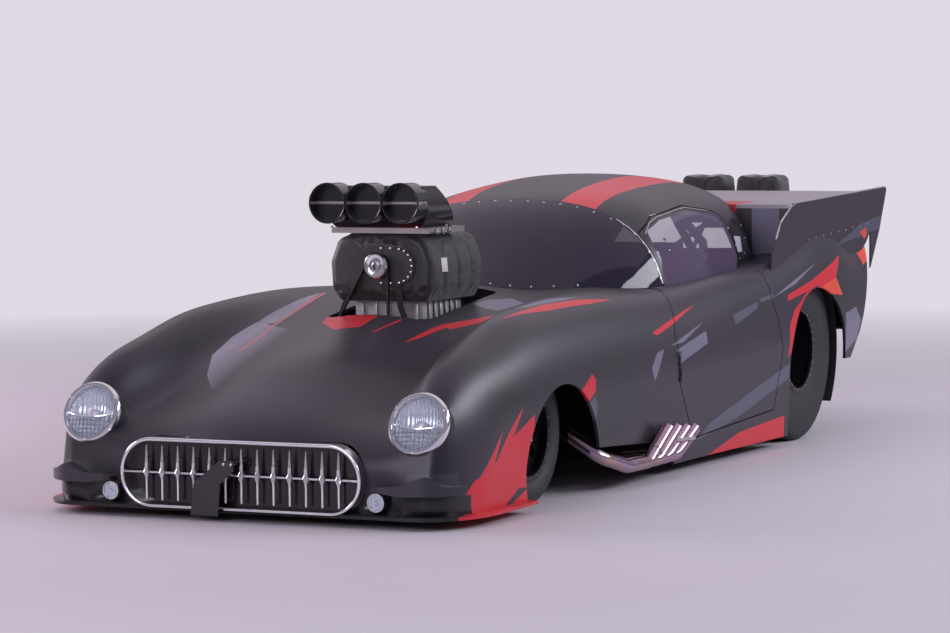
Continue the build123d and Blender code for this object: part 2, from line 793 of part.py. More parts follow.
# Chassis: tubes given by their ends on the left side, as (start, end, radius), mirrored to the right
rail_up = 106
rail_radius = 21
brace_radius = 16
cage_radius = 20
link_radius = 12
stay_radius = 14
weld = 1
rail_nose = (620, 300, rail_up)
rail_waist = (-985, 350, rail_up)
rail_tail = (-2440, 400, rail_up)
upper_nose = (560, 300, 400)
upper_waist = (-985, 400, 640)
cowl_corner = (-985, 560, 660)
screen_base = (-1230, 510, 752)
screen_mid = (-1500, 500, 985)
sill_front = (-985, 760, rail_up)
screen_corner = (-1800, 470, 1125)
hoop_top = (-2330, 450, 1185)
hoop_bend = (-2330, 640, 980)
sill_rear = (-2330, 790, rail_up)
hoop_brace = (-2330, 400, 620)
strut_mount = (0, strut_top.Y, strut_top.Z + 30)
frame_tubes = [
    (rail_nose, rail_waist, rail_radius),
    (rail_waist, rail_tail, rail_radius),
    (rail_nose, upper_nose, brace_radius),
    (upper_nose, upper_waist, brace_radius),
    (upper_waist, rail_waist, brace_radius),
    (rail_nose, (grille_back - stay_radius - weld - touch, 300, 130), stay_radius),
    (between(upper_nose, upper_waist, 0.25), strut_mount, stay_radius),
    (between(upper_nose, upper_waist, 0.5), strut_mount, stay_radius),
    (upper_waist, cowl_corner, cage_radius),
    (cowl_corner, sill_front, cage_radius),
    (sill_front, rail_waist, cage_radius),
    (cowl_corner, screen_base, cage_radius),
    (screen_base, screen_mid, cage_radius),
    (screen_mid, screen_corner, cage_radius),
    (screen_corner, hoop_top, cage_radius),
    (hoop_top, hoop_bend, cage_radius),
    (hoop_bend, sill_rear, cage_radius),
    (sill_rear, rail_tail, cage_radius),
    (sill_front, sill_rear, cage_radius),
    (between(sill_front, cowl_corner, 0.35), between(sill_rear, hoop_bend, 0.47), cage_radius),
    (hoop_top, tail_upper, cage_radius),
    (hoop_brace, tail_upper, brace_radius),
    (rail_tail, hoop_brace, brace_radius),
    (tail_upper, tail_lower, brace_radius),
    (tail_upper, pack_mount, pack_strut_radius),
    ((tail_lower[0], 180, tail_lower[2]), pack_mount, link_radius),
]
# Tubes that run straight across, each from a left-hand station to its mirror image
cross_tubes = [
    (rail_nose, rail_radius),
    (upper_nose, brace_radius),
    (rail_waist, rail_radius),
    (upper_waist, brace_radius),
    (screen_corner, cage_radius),
    (hoop_top, cage_radius),
    (hoop_brace, brace_radius),
    (rail_tail, rail_radius),
    (tail_upper, brace_radius),
    (tail_lower, brace_radius),
    (pack_mount, pack_strut_radius),
]
# Outriggers that carry the sills, as (ahead, side of the sill tube, inner side of the skin)
outriggers = [(-1300, 767, 920.5), (-2200, 787, 933)]
control_arm_pivots = [150, -150]
ball_seat_radius = 24
strut_seat_radius = 44
rack_half = 250
rack_radius = 20
rack_brackets = [-200, 200]
tie_rod_radius = 9
with BuildPart() as chassis_frame:
    for start, end, radius in frame_tubes:
        rod(at(*start), at(*end), radius)
        with Locations(at(*start), at(*end)):
            Sphere(radius + weld)
    for ahead, side, skin_side in outriggers:
        rod(at(ahead, side, rail_up), at(ahead, skin_side - touch, rail_up), link_radius)
    for ahead in control_arm_pivots:
        rod(at(ahead, 318, rail_up), at(0, kingpin_side - 8, kingpin_up - 24), link_radius)
    rod(at(0, kingpin_side, kingpin_up - 38), at(0, kingpin_side, kingpin_up - 12), ball_seat_radius)
    rod(strut_top + kingpin_axis * touch, strut_top + kingpin_axis * 14, strut_seat_radius)
    for side in rack_brackets:
        rod(at(steering_arm, side, arm_up), at(steering_arm, side, rail_up), link_radius)
        rod(at(steering_arm, side, rail_up), at(steering_arm, side * 1.6, rail_up), link_radius)
    rod(at(steering_arm, -rack_half, arm_up), at(steering_arm, rack_half, arm_up), rack_radius)
    mirror(about=Plane.XZ)
    for (ahead, side, up), radius in cross_tubes:
        rod(at(ahead, -side, up), at(ahead, side, up), radius)
    rod(
        at(steering_arm, -rack_half - 30, arm_up),
        at(steering_arm, rack_half + 30, arm_up),
        tie_rod_radius + running_gap,
        mode=Mode.SUBTRACT,
    )
save(chassis_frame.part, "chassis_frame")

# Tie rods on the rack between the knuckle arms
rod_eye_radius = 16
rod_eye_height = 14
with BuildPart() as tie_rods:
    rod(at(steering_arm, -arm_side, arm_up), at(steering_arm, arm_side, arm_up), tie_rod_radius)
    for side in (-arm_side, arm_side):
        rod(
            at(steering_arm, side, arm_up - rod_eye_height / 2),
            at(steering_arm, side, arm_up + rod_eye_height / 2),
            rod_eye_radius,
        )
save(tie_rods.part, "tie_rods")

# Floor pan with the wheel tubs, and the firewall with its dash
floor_sheet = 6
floor_half = 800
floor_front = -1030
floor_rear = -2640
floor_top = rail_up - rail_radius - weld - touch
tub_radius = 472
tub_sheet = 4
tub_inner = 462
tub_axle_hole = 70
tub_outer = 930
tub_foot = 160
with BuildPart() as wheel_tub:
    with BuildSketch(side_plane(tub_outer)):
        with Locations((-wheelbase, rear_tyre_radius)):
            Circle(tub_radius)
            Circle(tub_radius - tub_sheet, mode=Mode.SUBTRACT)
    extrude(amount=tub_outer - tub_inner)
    with BuildSketch(side_plane(tub_inner + tub_sheet)):
        with Locations((-wheelbase, rear_tyre_radius)):
            Circle(tub_radius)
            Circle(tub_axle_hole, mode=Mode.SUBTRACT)
    extrude(amount=tub_sheet)
    add(block((-4000, -2000), (0, body_far), (-100, floor_top)), mode=Mode.SUBTRACT)
    add(block((-4000, -2000), (floor_half, body_far), (-100, tub_foot)), mode=Mode.SUBTRACT)
    add(body_interior, mode=Mode.INTERSECT)
with BuildPart() as floor_pan:
    add(block((floor_rear, floor_front), (-floor_half, floor_half), (floor_top - floor_sheet, floor_top)))
    add(wheel_tub.part)
    mirror(wheel_tub.part, about=Plane.XZ)
save(floor_pan.part, "floor_pan")

firewall_ahead = -1010
firewall_sheet = 5
firewall_outline = [
    (-690, 92), (690, 92), (720, 500), (560, 605), (340, 780), (-340, 780), (-560, 605), (-720, 500),
]
dash_half = 485
dash_outline = [(-1010, 775), (-1150, 800), (-1330, 792), (-1345, 765), (-1010, 730)]
crank_up = 255
gearbox_radius = 110
with BuildPart() as firewall:
    with BuildSketch(cross_plane(firewall_ahead - firewall_sheet)):
        with BuildLine():
            FilletPolyline(*firewall_outline, radius=40, close=True)
        make_face()
        with Locations((0, crank_up)):
            Circle(gearbox_radius + 3, mode=Mode.SUBTRACT)
    extrude(amount=firewall_sheet)
    with BuildSketch(side_plane(dash_half)):
        with BuildLine():
            Polyline(*dash_outline, close=True)
        make_face()
    extrude(amount=2 * dash_half)
    for start, end, radius in frame_tubes:
        if start[0] > firewall_ahead > end[0]:
            for hand in (-1, 1):
                near = at(start[0], hand * start[1], start[2])
                rod(near, at(end[0], hand * end[1], end[2]), radius + touch, mode=Mode.SUBTRACT)
save(firewall.part, "firewall")

# Driver's seat and steering wheel on the left of the cabin
driver_side = 330
seat_half = 230
seat_wall = 35
seat_foot = rail_up + rail_radius + touch
seat_outline = [
    (-1840, seat_foot), (-1850, 300), (-2080, 330), (-2150, 620), (-2130, 800), (-2180, 980), (-2285, 980),
    (-2280, 620), (-2200, seat_foot),
]
seat_hollow = [(-1700, 230), (-2120, 180), (-2170, 260), (-2255, 960), (-2000, 1100), (-1700, 1000)]
with BuildPart() as seat:
    with BuildSketch(side_plane(driver_side + seat_half)):
        with BuildLine():
            FilletPolyline(*seat_outline, radius=20, close=True)
        make_face()
    extrude(amount=2 * seat_half)
    with BuildSketch(side_plane(driver_side + seat_half - seat_wall)):
        with BuildLine():
            FilletPolyline(*seat_hollow, radius=30, close=True)
        make_face()
    extrude(amount=2 * (seat_half - seat_wall), mode=Mode.SUBTRACT)
save(seat.part, "seat")

steering_wheel_radius = 150
steering_rim_radius = 13
column_radius = 14
column_slope = radians(22)
column_axis = Vector(-cos(column_slope), 0, sin(column_slope))
wheel_hub = at(-1600, driver_side, 800)
column_run = wheel_hub.X - at(firewall_ahead - firewall_sheet, 0, 0).X
column_length = (-column_run - touch - column_radius * sin(column_slope)) / cos(column_slope)
steering_plane = Plane(origin=wheel_hub, x_dir=(0, 1, 0), z_dir=column_axis)
rim_section = Plane(
    origin=wheel_hub + Vector(0, steering_wheel_radius, 0),
    x_dir=(0, 1, 0),
    z_dir=steering_plane.y_dir,
)
with BuildPart() as steering_wheel:
    with BuildSketch(rim_section):
        Circle(steering_rim_radius)
    revolve(axis=Axis(wheel_hub, column_axis))
    with BuildSketch(steering_plane.offset(-3)):
        with PolarLocations(steering_wheel_radius / 2, 3, start_angle=-90):
            Rectangle(steering_wheel_radius, 26)
        Circle(36)
    extrude(amount=6)
    with BuildSketch(steering_plane):
        Circle(column_radius)
    extrude(amount=-column_length)
save(steering_wheel.part, "steering_wheel")

# Engine: a plain block between the rails, on its front plate
block_front = -330
block_length = 570
head_side = 265
port_up = 460
engine_outline = [
    (-110, 130), (110, 130), (150, 260), (head_side, 400), (head_side, 520), (205, 575), (90, 560),
    (-90, 560), (-205, 575), (-head_side, 520), (-head_side, 400), (-150, 260),
]
engine_top = 560
plate_half = 345
plate_top = 430
with BuildPart() as engine_block:
    with BuildSketch(cross_plane(block_front - block_length)):
        with BuildLine():
            Polyline(*engine_outline, close=True)
        make_face()
    extrude(amount=block_length)
    add(
        block(
            (block_front - 1, block_front + 8),
            (-plate_half, plate_half),
            (rail_up + rail_radius + touch, plate_top),
        )
    )
save(engine_block.part, "engine_block")

# Supercharger in its blanket on the manifold, with the drive cover on its nose
blower_front = -262
blower_rear = -742
blower_low = 800
blower_high = 1090
blower_section = [(205, 800), (232, 850), (235, 970), (200, 1060), (150, blower_high)]
rotor_up = 954
pulley_front = -215
pulley_radius = 52
manifold_half = 160
manifold_foot = 85
cover_reach = 26
cover_radius = 82
cover_shift = 85
with BuildPart() as supercharger:
    with BuildSketch(cross_plane(blower_rear)):
        with BuildLine():
            right_section = [(-side, up) for side, up in reversed(blower_section)]
            FilletPolyline(*blower_section, *right_section, radius=30, close=True)
        make_face()
    extrude(amount=blower_front - blower_rear)
    fillet(supercharger.faces().sort_by(Axis.X)[-1].edges(), 22)
    add(
        block(
            (blower_rear + 40, blower_front - 70),
            (-manifold_half, manifold_half),
            (engine_top + 16, blower_low + 10),
        )
    )
    add(
        block(
            (blower_rear + 60, blower_front - 90),
            (-manifold_foot, manifold_foot),
            (engine_top + touch, engine_top + 20),
        )
    )
    with BuildSketch(cross_plane(blower_front - 2)):
        with Locations((cover_shift / 2, rotor_up)):
            SlotCenterToCenter(cover_shift, 2 * cover_radius)
    extrude(amount=cover_reach)
save(supercharger.part, "supercharger")

# Blower drive: top, idler and crank pulleys with the toothed belt round them
# Each pulley as (side, up, radius)
drive_pulleys = [(0, rotor_up, pulley_radius), (-185, 640, 48), (0, crank_up, 60)]
belt_sheet = 7
belt_rear = blower_front + cover_reach + touch
belt_width = 14
with BuildPart() as blower_drive:
    with BuildSketch(cross_plane(belt_rear)):
        for side, up, radius in drive_pulleys:
            with Locations((side, up)):
                Circle(radius)
        make_hull()
        with BuildSketch(cross_plane(belt_rear), mode=Mode.SUBTRACT):
            for side, up, radius in drive_pulleys:
                with Locations((side, up)):
                    Circle(radius - belt_sheet)
            make_hull()
        for side, up, radius in drive_pulleys:
            with Locations((side, up)):
                Circle(radius - 1)
    extrude(amount=pulley_front - belt_rear)
    rod(at(block_front + 8 + touch, 0, crank_up), at(belt_rear + 2, 0, crank_up), 50)
    rod(at(block_front + 8 + touch, -185, 640), at(belt_rear + 2, -185, 640), 20)
save(blower_drive.part, "blower_drive")

# Injector hat with three bores on its base plate
hat_front = -100
hat_up = 1221
bore_radius = 80
bore_pitch = 172
hat_wall = 5
barrel_length = 110
hat_rear = -400
base_plate = 24
base_half = 230
butterfly_reach = 60
butterfly_sheet = 3
hat_bores = [index * bore_pitch for index in (-1, 0, 1)]
with BuildPart() as injector_hat:
    for side in hat_bores:
        rod(at(hat_front - barrel_length, side, hat_up), at(hat_front, side, hat_up), bore_radius + hat_wall)
    add(block((-600, -250), (-base_half, base_half), (blower_high + touch, blower_high + base_plate)))
    with BuildSketch(top_plane(blower_high + base_plate)):
        with Locations((-390, 0)):
            Rectangle(300, 2 * base_half - 60)
    with BuildSketch(top_plane(hat_up)):
        with Locations((-300, 0)):
            Rectangle(200, 2 * base_half + 40)
    with BuildSketch(top_plane(hat_up + 70)):
        with Locations((-260, 0)):
            Rectangle(120, 2 * base_half)
    loft()
    for side in hat_bores:
        bore_end = at(hat_front - barrel_length + 12, side, hat_up)
        rod(bore_end, at(hat_front + 1, side, hat_up), bore_radius, mode=Mode.SUBTRACT)
        butterfly = at(hat_front - butterfly_reach, side, hat_up)
        rod(butterfly, butterfly + Vector(butterfly_sheet, 0, 0), bore_radius + 1)
    shaft = 1.5 * bore_pitch + 16
    rod(
        at(hat_front - butterfly_reach + 12, -shaft, hat_up),
        at(hat_front - butterfly_reach + 12, shaft, hat_up),
        5,
    )
save(injector_hat.part, "injector_hat")

# Exhaust headers: four pipes a side that leave behind the front wheel and sweep up in a row
pipe_radius = 28
port_pitch = 120
first_port = -385
tip_pitch = 100
pipe_bend = 70
pipe_low = 98
with BuildPart() as header:
    for index in range(4):
        port = first_port - index * port_pitch
        shift = -index * tip_pitch
        pipe_run(
            [
                at(port, head_side + touch, port_up),
                at(port, 460 - 45 * index, port_up),
                at(-440 + shift, 930 - 60 * index, 152),
                at(-640 + shift, 965 - 55 * index, pipe_low),
                at(-850 + shift, 977, pipe_low),
                at(-1040 + shift, 990, 226 - 9 * index),
            ],
            pipe_radius, pipe_bend,
        )
save_pair(header.part, "header")

# Gearbox, propeller shaft and rear axle
bell_rear = -955
gearbox_rear = -1500
bell_radius = 195
shaft_radius = 42
pinion_front = -wheelbase + 175
pinion_up = 330
with BuildPart() as drivetrain:
    rod(at(block_front - block_length - touch, 0, crank_up), at(bell_rear, 0, crank_up), bell_radius)
    rod(at(bell_rear, 0, crank_up), at(gearbox_rear, 0, crank_up), gearbox_radius)
    rod(at(gearbox_rear, 0, crank_up), at(pinion_front + 3 + touch, 0, pinion_up), shaft_radius)
    rod(at(-1300, 0, crank_up - 100), at(-1300, 0, floor_top + touch), 60)
save(drivetrain.part, "drivetrain")

axle_tube_radius = 40
diff_radius = 150
link_side = 330
link_bar_radius = 13
# Rear links, each from a height above the axle to a share of the way up the frame's rear upright
rear_links = [(110, 0.54), (-120, 0.19)]
with BuildPart() as rear_axle:
    rod(
        at(-wheelbase, -axle_tube_end, rear_tyre_radius),
        at(-wheelbase, axle_tube_end, rear_tyre_radius),
        axle_tube_radius,
    )
    rod(at(-wheelbase, -130, rear_tyre_radius), at(-wheelbase, 130, rear_tyre_radius), diff_radius)
    rod(at(-wheelbase, 0, pinion_up), at(pinion_front, 0, pinion_up), 70)
    for hand in (-1, 1):
        for rise, share in rear_links:
            front = between(rail_tail, hoop_brace, share)
            rod(
                at(-wheelbase, hand * link_side, rear_tyre_radius + rise),
                at(front[0] - brace_radius - 4, hand * front[1], front[2]),
                link_bar_radius,
            )
        rod(
            at(-wheelbase, hand * link_side, rear_tyre_radius - 135),
            at(-wheelbase, hand * link_side, rear_tyre_radius + 125),
            20,
        )
        rod(at(-wheelbase - 20, hand * 290, 400), at(-3305, hand * 290, 612), 26)
save(rear_axle.part, "rear_axle")

# Wheelie bar behind the rear axle, and its small wheels
bar_axle_ahead = -(wheelbase + wheelie_axle_behind)
bar_axle_up = wheelie_wheel_radius + 45
bar_half = 235
bar_radius = 13
bar_shaft_radius = 8
bar_eye_radius = 18
eye_half = 12
bar_wheel_width = 40
bar_struts = [0.25, 0.5, 0.75]
with BuildPart() as wheelie_bar:
    for hand in (-1, 1):
        eye = (bar_axle_ahead, bar_half, bar_axle_up)
        feet = []
        for share in (0.18, 0.94):
            foot = between(tail_upper, tail_lower, share)
            feet.append((foot[0] - brace_radius - 7, foot[1], foot[2]))
        for foot in feet:
            rod(at(foot[0], hand * foot[1], foot[2]), at(eye[0] + 24, hand * eye[1], eye[2] + 4), bar_radius)
        for share in bar_struts:
            high = between(feet[0], eye, share)
            low = between(feet[1], eye, share)
            rod(at(high[0], hand * high[1], high[2]), at(low[0], hand * low[1], low[2]), 10)
        with BuildSketch(side_plane(hand * bar_half + eye_half)):
            with Locations((bar_axle_ahead, bar_axle_up)):
                Circle(bar_eye_radius)
            with Locations((bar_axle_ahead + 20, bar_axle_up + 4)):
                Rectangle(24, 24)
            with Locations((bar_axle_ahead, bar_axle_up)):
                Circle(bar_shaft_radius + running_gap, mode=Mode.SUBTRACT)
        extrude(amount=2 * eye_half)
    rod(
        at(bar_axle_ahead + 60, -bar_half, bar_axle_up + 8),
        at(bar_axle_ahead + 60, bar_half, bar_axle_up + 8),
        10,
    )
save(wheelie_bar.part, "wheelie_bar")

with BuildPart() as wheelie_wheels:
    inner = bar_half + eye_half + 6
    outer = inner + bar_wheel_width
    rod(at(bar_axle_ahead, -outer, bar_axle_up), at(bar_axle_ahead, outer, bar_axle_up), bar_shaft_radius)
    for hand in (-1, 1):
        rod(
            at(bar_axle_ahead, hand * inner, bar_axle_up),
            at(bar_axle_ahead, hand * outer, bar_axle_up),
            wheelie_wheel_radius,
        )
save(wheelie_wheels.part, "wheelie_wheels")

# Parachute packs on the cross tube behind the deck
pack_front = -4290
pack_rear = -4540
pack_foot = pack_mount[2] + pack_strut_radius + weld + touch
pack_section = [(8, pack_foot), (302, pack_foot), (300, 1165), (258, 1262), (48, 1262), (8, 1165)]
with BuildPart() as parachutes:
    with BuildSketch(cross_plane(pack_rear)):
        with BuildLine():
            FilletPolyline(*pack_section, radius=18, close=True)
        make_face()
    extrude(amount=pack_front - pack_rear)
    straight_edges = parachutes.edges().filter_by(GeomType.LINE)
    fillet(straight_edges.filter_by(Axis.X, reverse=True).group_by(Axis.X)[-1], 12)
    mirror(about=Plane.XZ)
    add(block((pack_rear + 60, pack_front - 60), (-60, 60), (pack_foot, pack_foot + 20)))
save(parachutes.part, "parachutes")
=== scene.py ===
# %% [markdown]
# A drag racing car, dressed for a photograph.
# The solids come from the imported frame. They have the right size and place, but no finish and no small trim.
# This file gives every solid its finish and adds the small pieces that are too fine for a solid model.
# Each cell prints what it made, so that a reader can follow the work in steps.

# %%
import math

import bmesh
import bpy
from mathutils import Matrix, Vector


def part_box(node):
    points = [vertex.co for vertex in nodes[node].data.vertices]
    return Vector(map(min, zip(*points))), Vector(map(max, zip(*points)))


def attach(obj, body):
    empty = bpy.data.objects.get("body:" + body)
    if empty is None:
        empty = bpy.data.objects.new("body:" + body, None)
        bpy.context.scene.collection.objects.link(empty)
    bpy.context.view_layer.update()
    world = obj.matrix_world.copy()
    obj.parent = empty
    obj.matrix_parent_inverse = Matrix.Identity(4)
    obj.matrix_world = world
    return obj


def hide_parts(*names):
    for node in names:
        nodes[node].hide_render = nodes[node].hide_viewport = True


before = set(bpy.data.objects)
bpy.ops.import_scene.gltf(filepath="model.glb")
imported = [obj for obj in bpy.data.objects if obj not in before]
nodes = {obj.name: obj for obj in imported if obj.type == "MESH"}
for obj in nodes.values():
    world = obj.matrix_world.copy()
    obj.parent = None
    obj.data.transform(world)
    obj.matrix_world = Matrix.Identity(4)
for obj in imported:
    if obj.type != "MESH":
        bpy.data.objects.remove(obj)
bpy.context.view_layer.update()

# %% [markdown]
# The CAD counts its stations in millimetres ahead of the front axle, the frame in metres from its own origin.
# One small function turns one into the other, so that the numbers below can be compared with the drawing.

# %%
FRONT_AXLE = 1.78
REAR_AXLE = -1.141
FRONT_HUB_UP = 0.286
REAR_HUB_UP = 0.438
DRIVE_UP = 0.954
HAT_UP = 1.221


def ahead(millimetres):
    """Frame x of a station given in millimetres ahead of the front axle."""
    return FRONT_AXLE + millimetres / 1000


print("nose at", ahead(1000))

# %% [markdown]
# The camera stands where the photographer stood: low, well ahead of the car and to its left.
# It has a long lens. Its angles were worked out from the four wheels, with a roll of under half a degree.

# %%
CAMERA_PLACE = (FRONT_AXLE + 12.49, 6.54, 1.61)
CAMERA_TURNS = (25.57, 3.5, -0.42)
LENS_LENGTH = 128.2
FILM_WIDTH = 36
yaw, pitch, roll = (math.radians(angle) for angle in CAMERA_TURNS)
sight = Vector((-math.cos(yaw) * math.cos(pitch), -math.sin(yaw) * math.cos(pitch), -math.sin(pitch)))
level = sight.cross(Vector((0, 0, 1))).normalized()
upright = level.cross(sight)
right = level * math.cos(roll) + upright * math.sin(roll)
up = upright * math.cos(roll) - level * math.sin(roll)
bpy.ops.object.camera_add()
camera = bpy.context.object
camera.data.lens = LENS_LENGTH
camera.data.sensor_width = FILM_WIDTH
turned_view = Matrix((right, up, -sight)).transposed().to_4x4()
camera.matrix_world = Matrix.Translation(CAMERA_PLACE) @ turned_view
bpy.context.scene.camera = camera
print("lens", camera.data.lens)

# %% [markdown]
# Four large soft lamps stand for the evening sky: one over each flank, one above and one before the nose.
# Large lamps give the broad, soft highlights that show the crowns of the wings and the bonnet.


# %%
def softbox(name, place, target, width, height, power, colour):
    """Rectangular area lamp that faces a point."""
    bpy.ops.object.light_add(type="AREA", location=place)
    lamp = bpy.context.object
    lamp.name = name
    lamp.data.shape = "RECTANGLE"
    lamp.data.size = width
    lamp.data.size_y = height
    lamp.data.energy = power
    lamp.data.color = colour
    lamp.rotation_euler = (Vector(target) - Vector(place)).to_track_quat("-Z", "Y").to_euler()
    print("lamp", name, power)


softbox("sky_left", (-2.0, 7.5, 4.6), (0, 0.6, 0.5), 9.0, 2.2, 560, (0.9, 0.92, 1.0))
softbox("sky_top", (-2.0, -2.0, 6.5), (-1.0, -1.0, 0.4), 18.0, 14.0, 360, (1.0, 0.9, 0.97))
softbox("dusk_right", (2.5, -8.0, 3.2), (1.0, 0, 0.5), 7.0, 2.0, 420, (1.0, 0.8, 0.9))
softbox("front_fill", (11.0, -1.0, 3.4), (1.5, 0, 0.4), 5.0, 2.5, 260, (0.95, 0.9, 1.0))

# %% [markdown]
# Every finish below is a sum of simple masks, such as "left of this line" or "further out than this radius".
# Blender's Math nodes do such sums one at a time, which is hard to read when many are chained.
# The class below wraps a socket, so that the nodes can be written as ordinary Python expressions.


# %%
def feed(tree, item, place):
    """Sets a socket to a number or colour, or links it to a value."""
    if isinstance(item, Value):
        tree.links.new(item.socket, place)
    elif isinstance(item, tuple):
        place.default_value = (*item, 1) if len(item) == 3 and len(place.default_value) == 4 else item
    else:
        place.default_value = item


def make(tree, kind, settings=None, inputs=None, output=0):
    """Adds a shader node with its settings and inputs, and hands back one of its outputs."""
    node = tree.nodes.new(kind)
    for name, setting in (settings or {}).items():
        setattr(node, name, setting)
    for name, item in (inputs or {}).items():
        feed(tree, item, node.inputs[name])
    return Value(tree, node.outputs[output])


def sum_step(operation, swapped=False):
    """Method that takes a sum one step further with a Math node."""

    def method(self, *others):
        items = (*others, self) if swapped else (self, *others)
        return make(self.tree, "ShaderNodeMath", {"operation": operation}, dict(enumerate(items)))

    return method


class Value:
    """A shader number that takes part in sums."""

    __add__ = __radd__ = sum_step("ADD")
    __mul__ = __rmul__ = sum_step("MULTIPLY")
    __sub__ = sum_step("SUBTRACT")
    __rsub__ = sum_step("SUBTRACT", True)
    __gt__ = sum_step("GREATER_THAN")
    __lt__ = sum_step("LESS_THAN")
    __or__ = sum_step("MAXIMUM")
    __abs__ = sum_step("ABSOLUTE")
    root = sum_step("SQRT")
    sine = sum_step("SINE")

    def __init__(self, tree, socket):
        self.tree = tree
        self.socket = socket

    def between(self, low, high):
        return (self > low) * (self < high)

    def wave(self, length):
        """Sine of a value with the given wavelength, from 0 to 1."""
        return (self * (2 * math.pi / length)).sine() * 0.5 + 0.5

    def fade(self, start, end):
        """0 before start, 1 after end and even between them."""
        limits = {"Value": self, "From Min": start, "From Max": end}
        return make(self.tree, "ShaderNodeMapRange", None, limits)


print("sums ready")

# %% [markdown]
# A finish is one Principled shader. Its base is set on its own sockets, and only what varies is linked.
# Object coordinates are used all through: the pieces sit at the origin, so these are the frame's metres.


# %%
def blend(low, high, mask):
    """Number that goes from low to high with a mask."""
    return mask * (high - low) + low


def inside(corners, across, upward):
    """1 inside a convex outline, given as (across, upward) corners in turn, in millimetres."""
    points = [(u / 1000, v / 1000) for u, v in corners]
    pairs = list(zip(points, points[1:] + points[:1]))
    turn = 1 if sum(a[0] * b[1] - b[0] * a[1] for a, b in pairs) > 0 else -1
    mask = None
    for (u0, v0), (u1, v1) in pairs:
        rise = upward * (turn * (u1 - u0)) - across * (turn * (v1 - v0))
        edge = rise > turn * (v0 * (u1 - u0) - u0 * (v1 - v0))
        mask = edge if mask is None else mask * edge
    return mask


def radius_from(centre, first, second):
    """Distance from an axis through a centre, in the plane of two coordinates."""
    u = first - centre[0]
    v = second - centre[1]
    return (u * u + v * v).root()


class Finish:
    """A material: a Principled shader with the sums that feed it."""

    def __init__(self, name, colour, roughness, metallic=0.0, **inputs):
        self.material = bpy.data.materials.new(name)
        self.material.use_nodes = True
        self.tree = self.material.node_tree
        self.shader = self.tree.nodes["Principled BSDF"]
        self.point = make(self.tree, "ShaderNodeTexCoord", None, None, "Object")
        axes = [make(self.tree, "ShaderNodeSeparateXYZ", None, {0: self.point}, index) for index in range(3)]
        self.x, self.y, self.z = axes
        self.side = abs(self.y)
        self.colour = colour
        self.set(Base_Color=colour, Roughness=roughness, Metallic=metallic, **inputs)

    def set(self, **inputs):
        for name, item in inputs.items():
            feed(self.tree, item, self.shader.inputs[name.replace("_", " ")])

    def noise(self, scale, detail=3.0, stretch=(1, 1, 1)):
        grain = make(self.tree, "ShaderNodeMapping", None, {"Vector": self.point, "Scale": stretch})
        inputs = {"Vector": grain, "Scale": scale, "Detail": detail}
        return make(self.tree, "ShaderNodeTexNoise", None, inputs, 0)

    def paint(self, colour, mask):
        """Lays a colour over what the surface has so far."""
        layers = {0: mask, 6: self.colour, 7: colour}
        self.colour = make(self.tree, "ShaderNodeMix", {"data_type": "RGBA"}, layers, 2)
        self.set(Base_Color=self.colour)

    def bump(self, height, strength, distance):
        inputs = {"Height": height, "Strength": strength, "Distance": distance}
        self.set(Normal=make(self.tree, "ShaderNodeBump", None, inputs))

    def grain(self, strength, distance, *cloud):
        """Relief in a cloud of noise, given by its scale, detail and stretch."""
        self.bump(self.noise(*cloud), strength, distance)

    def shine(self, low, high, *cloud):
        """Roughness that wanders between two limits in a cloud of noise."""
        self.set(Roughness=blend(low, high, self.noise(*cloud)))


def dress(finish, *names):
    """Gives CAD nodes a finish."""
    for name in names:
        mesh = nodes[name].data
        mesh.materials.clear()
        mesh.materials.append(finish.material)
    print("finish", finish.material.name, "on", len(names))


# %% [markdown]
# The floor is plain and pale, and keeps the shadow under the car.
# Far from the car it fades into the backdrop's colour, so that no line shows where the floor ends.
# Only the camera sees that far colour: the lamps and the paint don't, so the light on the car stays as it is.


# %%
BACKDROP = (0.74, 0.7, 0.77)
AIR = (0.7, 0.64, 0.76)
AIR_STRENGTH = 0.4
FLOOR_SIZE = 160
FADE_START = 4.5
FADE_END = 12.0


def show(tree, kind, share, lit, output):
    """Lays the backdrop's colour over a share of a lit surface, for the camera alone."""
    seen = make(tree, "ShaderNodeLightPath", None, None, "Is Camera Ray")
    plain = make(tree, kind, None, {"Color": BACKDROP, "Strength": 1.0})
    mixed = make(tree, "ShaderNodeMixShader", None, {0: seen * share, 1: lit, 2: plain})
    tree.links.new(mixed.socket, tree.nodes[output].inputs["Surface"])


bpy.ops.mesh.primitive_plane_add(size=FLOOR_SIZE, location=(0, 0, 0))
floor = bpy.context.object
floor.name = "floor"
paving = Finish("floor_paint", (0.56, 0.53, 0.58), 0.55)
paving.shine(0.5, 0.6, 3.0)
surface = Value(paving.tree, paving.shader.outputs[0])
distance = radius_from((0.0, 0.0), paving.x, paving.y)
show(paving.tree, "ShaderNodeEmission", distance.fade(FADE_START, FADE_END), surface, "Material Output")
floor.data.materials.append(paving.material)

world = bpy.data.worlds.new("studio")
world.use_nodes = True
sky = world.node_tree
feed(sky, AIR, sky.nodes["Background"].inputs["Color"])
feed(sky, AIR_STRENGTH, sky.nodes["Background"].inputs["Strength"])
show(sky, "ShaderNodeBackground", 1.0, Value(sky, sky.nodes["Background"].outputs[0]), "World Output")
bpy.context.scene.world = world
bpy.context.scene.view_settings.view_transform = "Standard"
print("floor and backdrop", BACKDROP)

# %% [markdown]
# The body is wrapped in satin charcoal film with a purple cast, and angular flashes are cut into it.
# A photograph of them would tie them to one car. Here each flash is an outline of a few corners instead.
# The outline is drawn in side view or in top view and laid on the skin, so it stays sharp at any size.
# The corners below are (x, z) on the flanks and (x, y) on the bonnet and cowl, in millimetres.

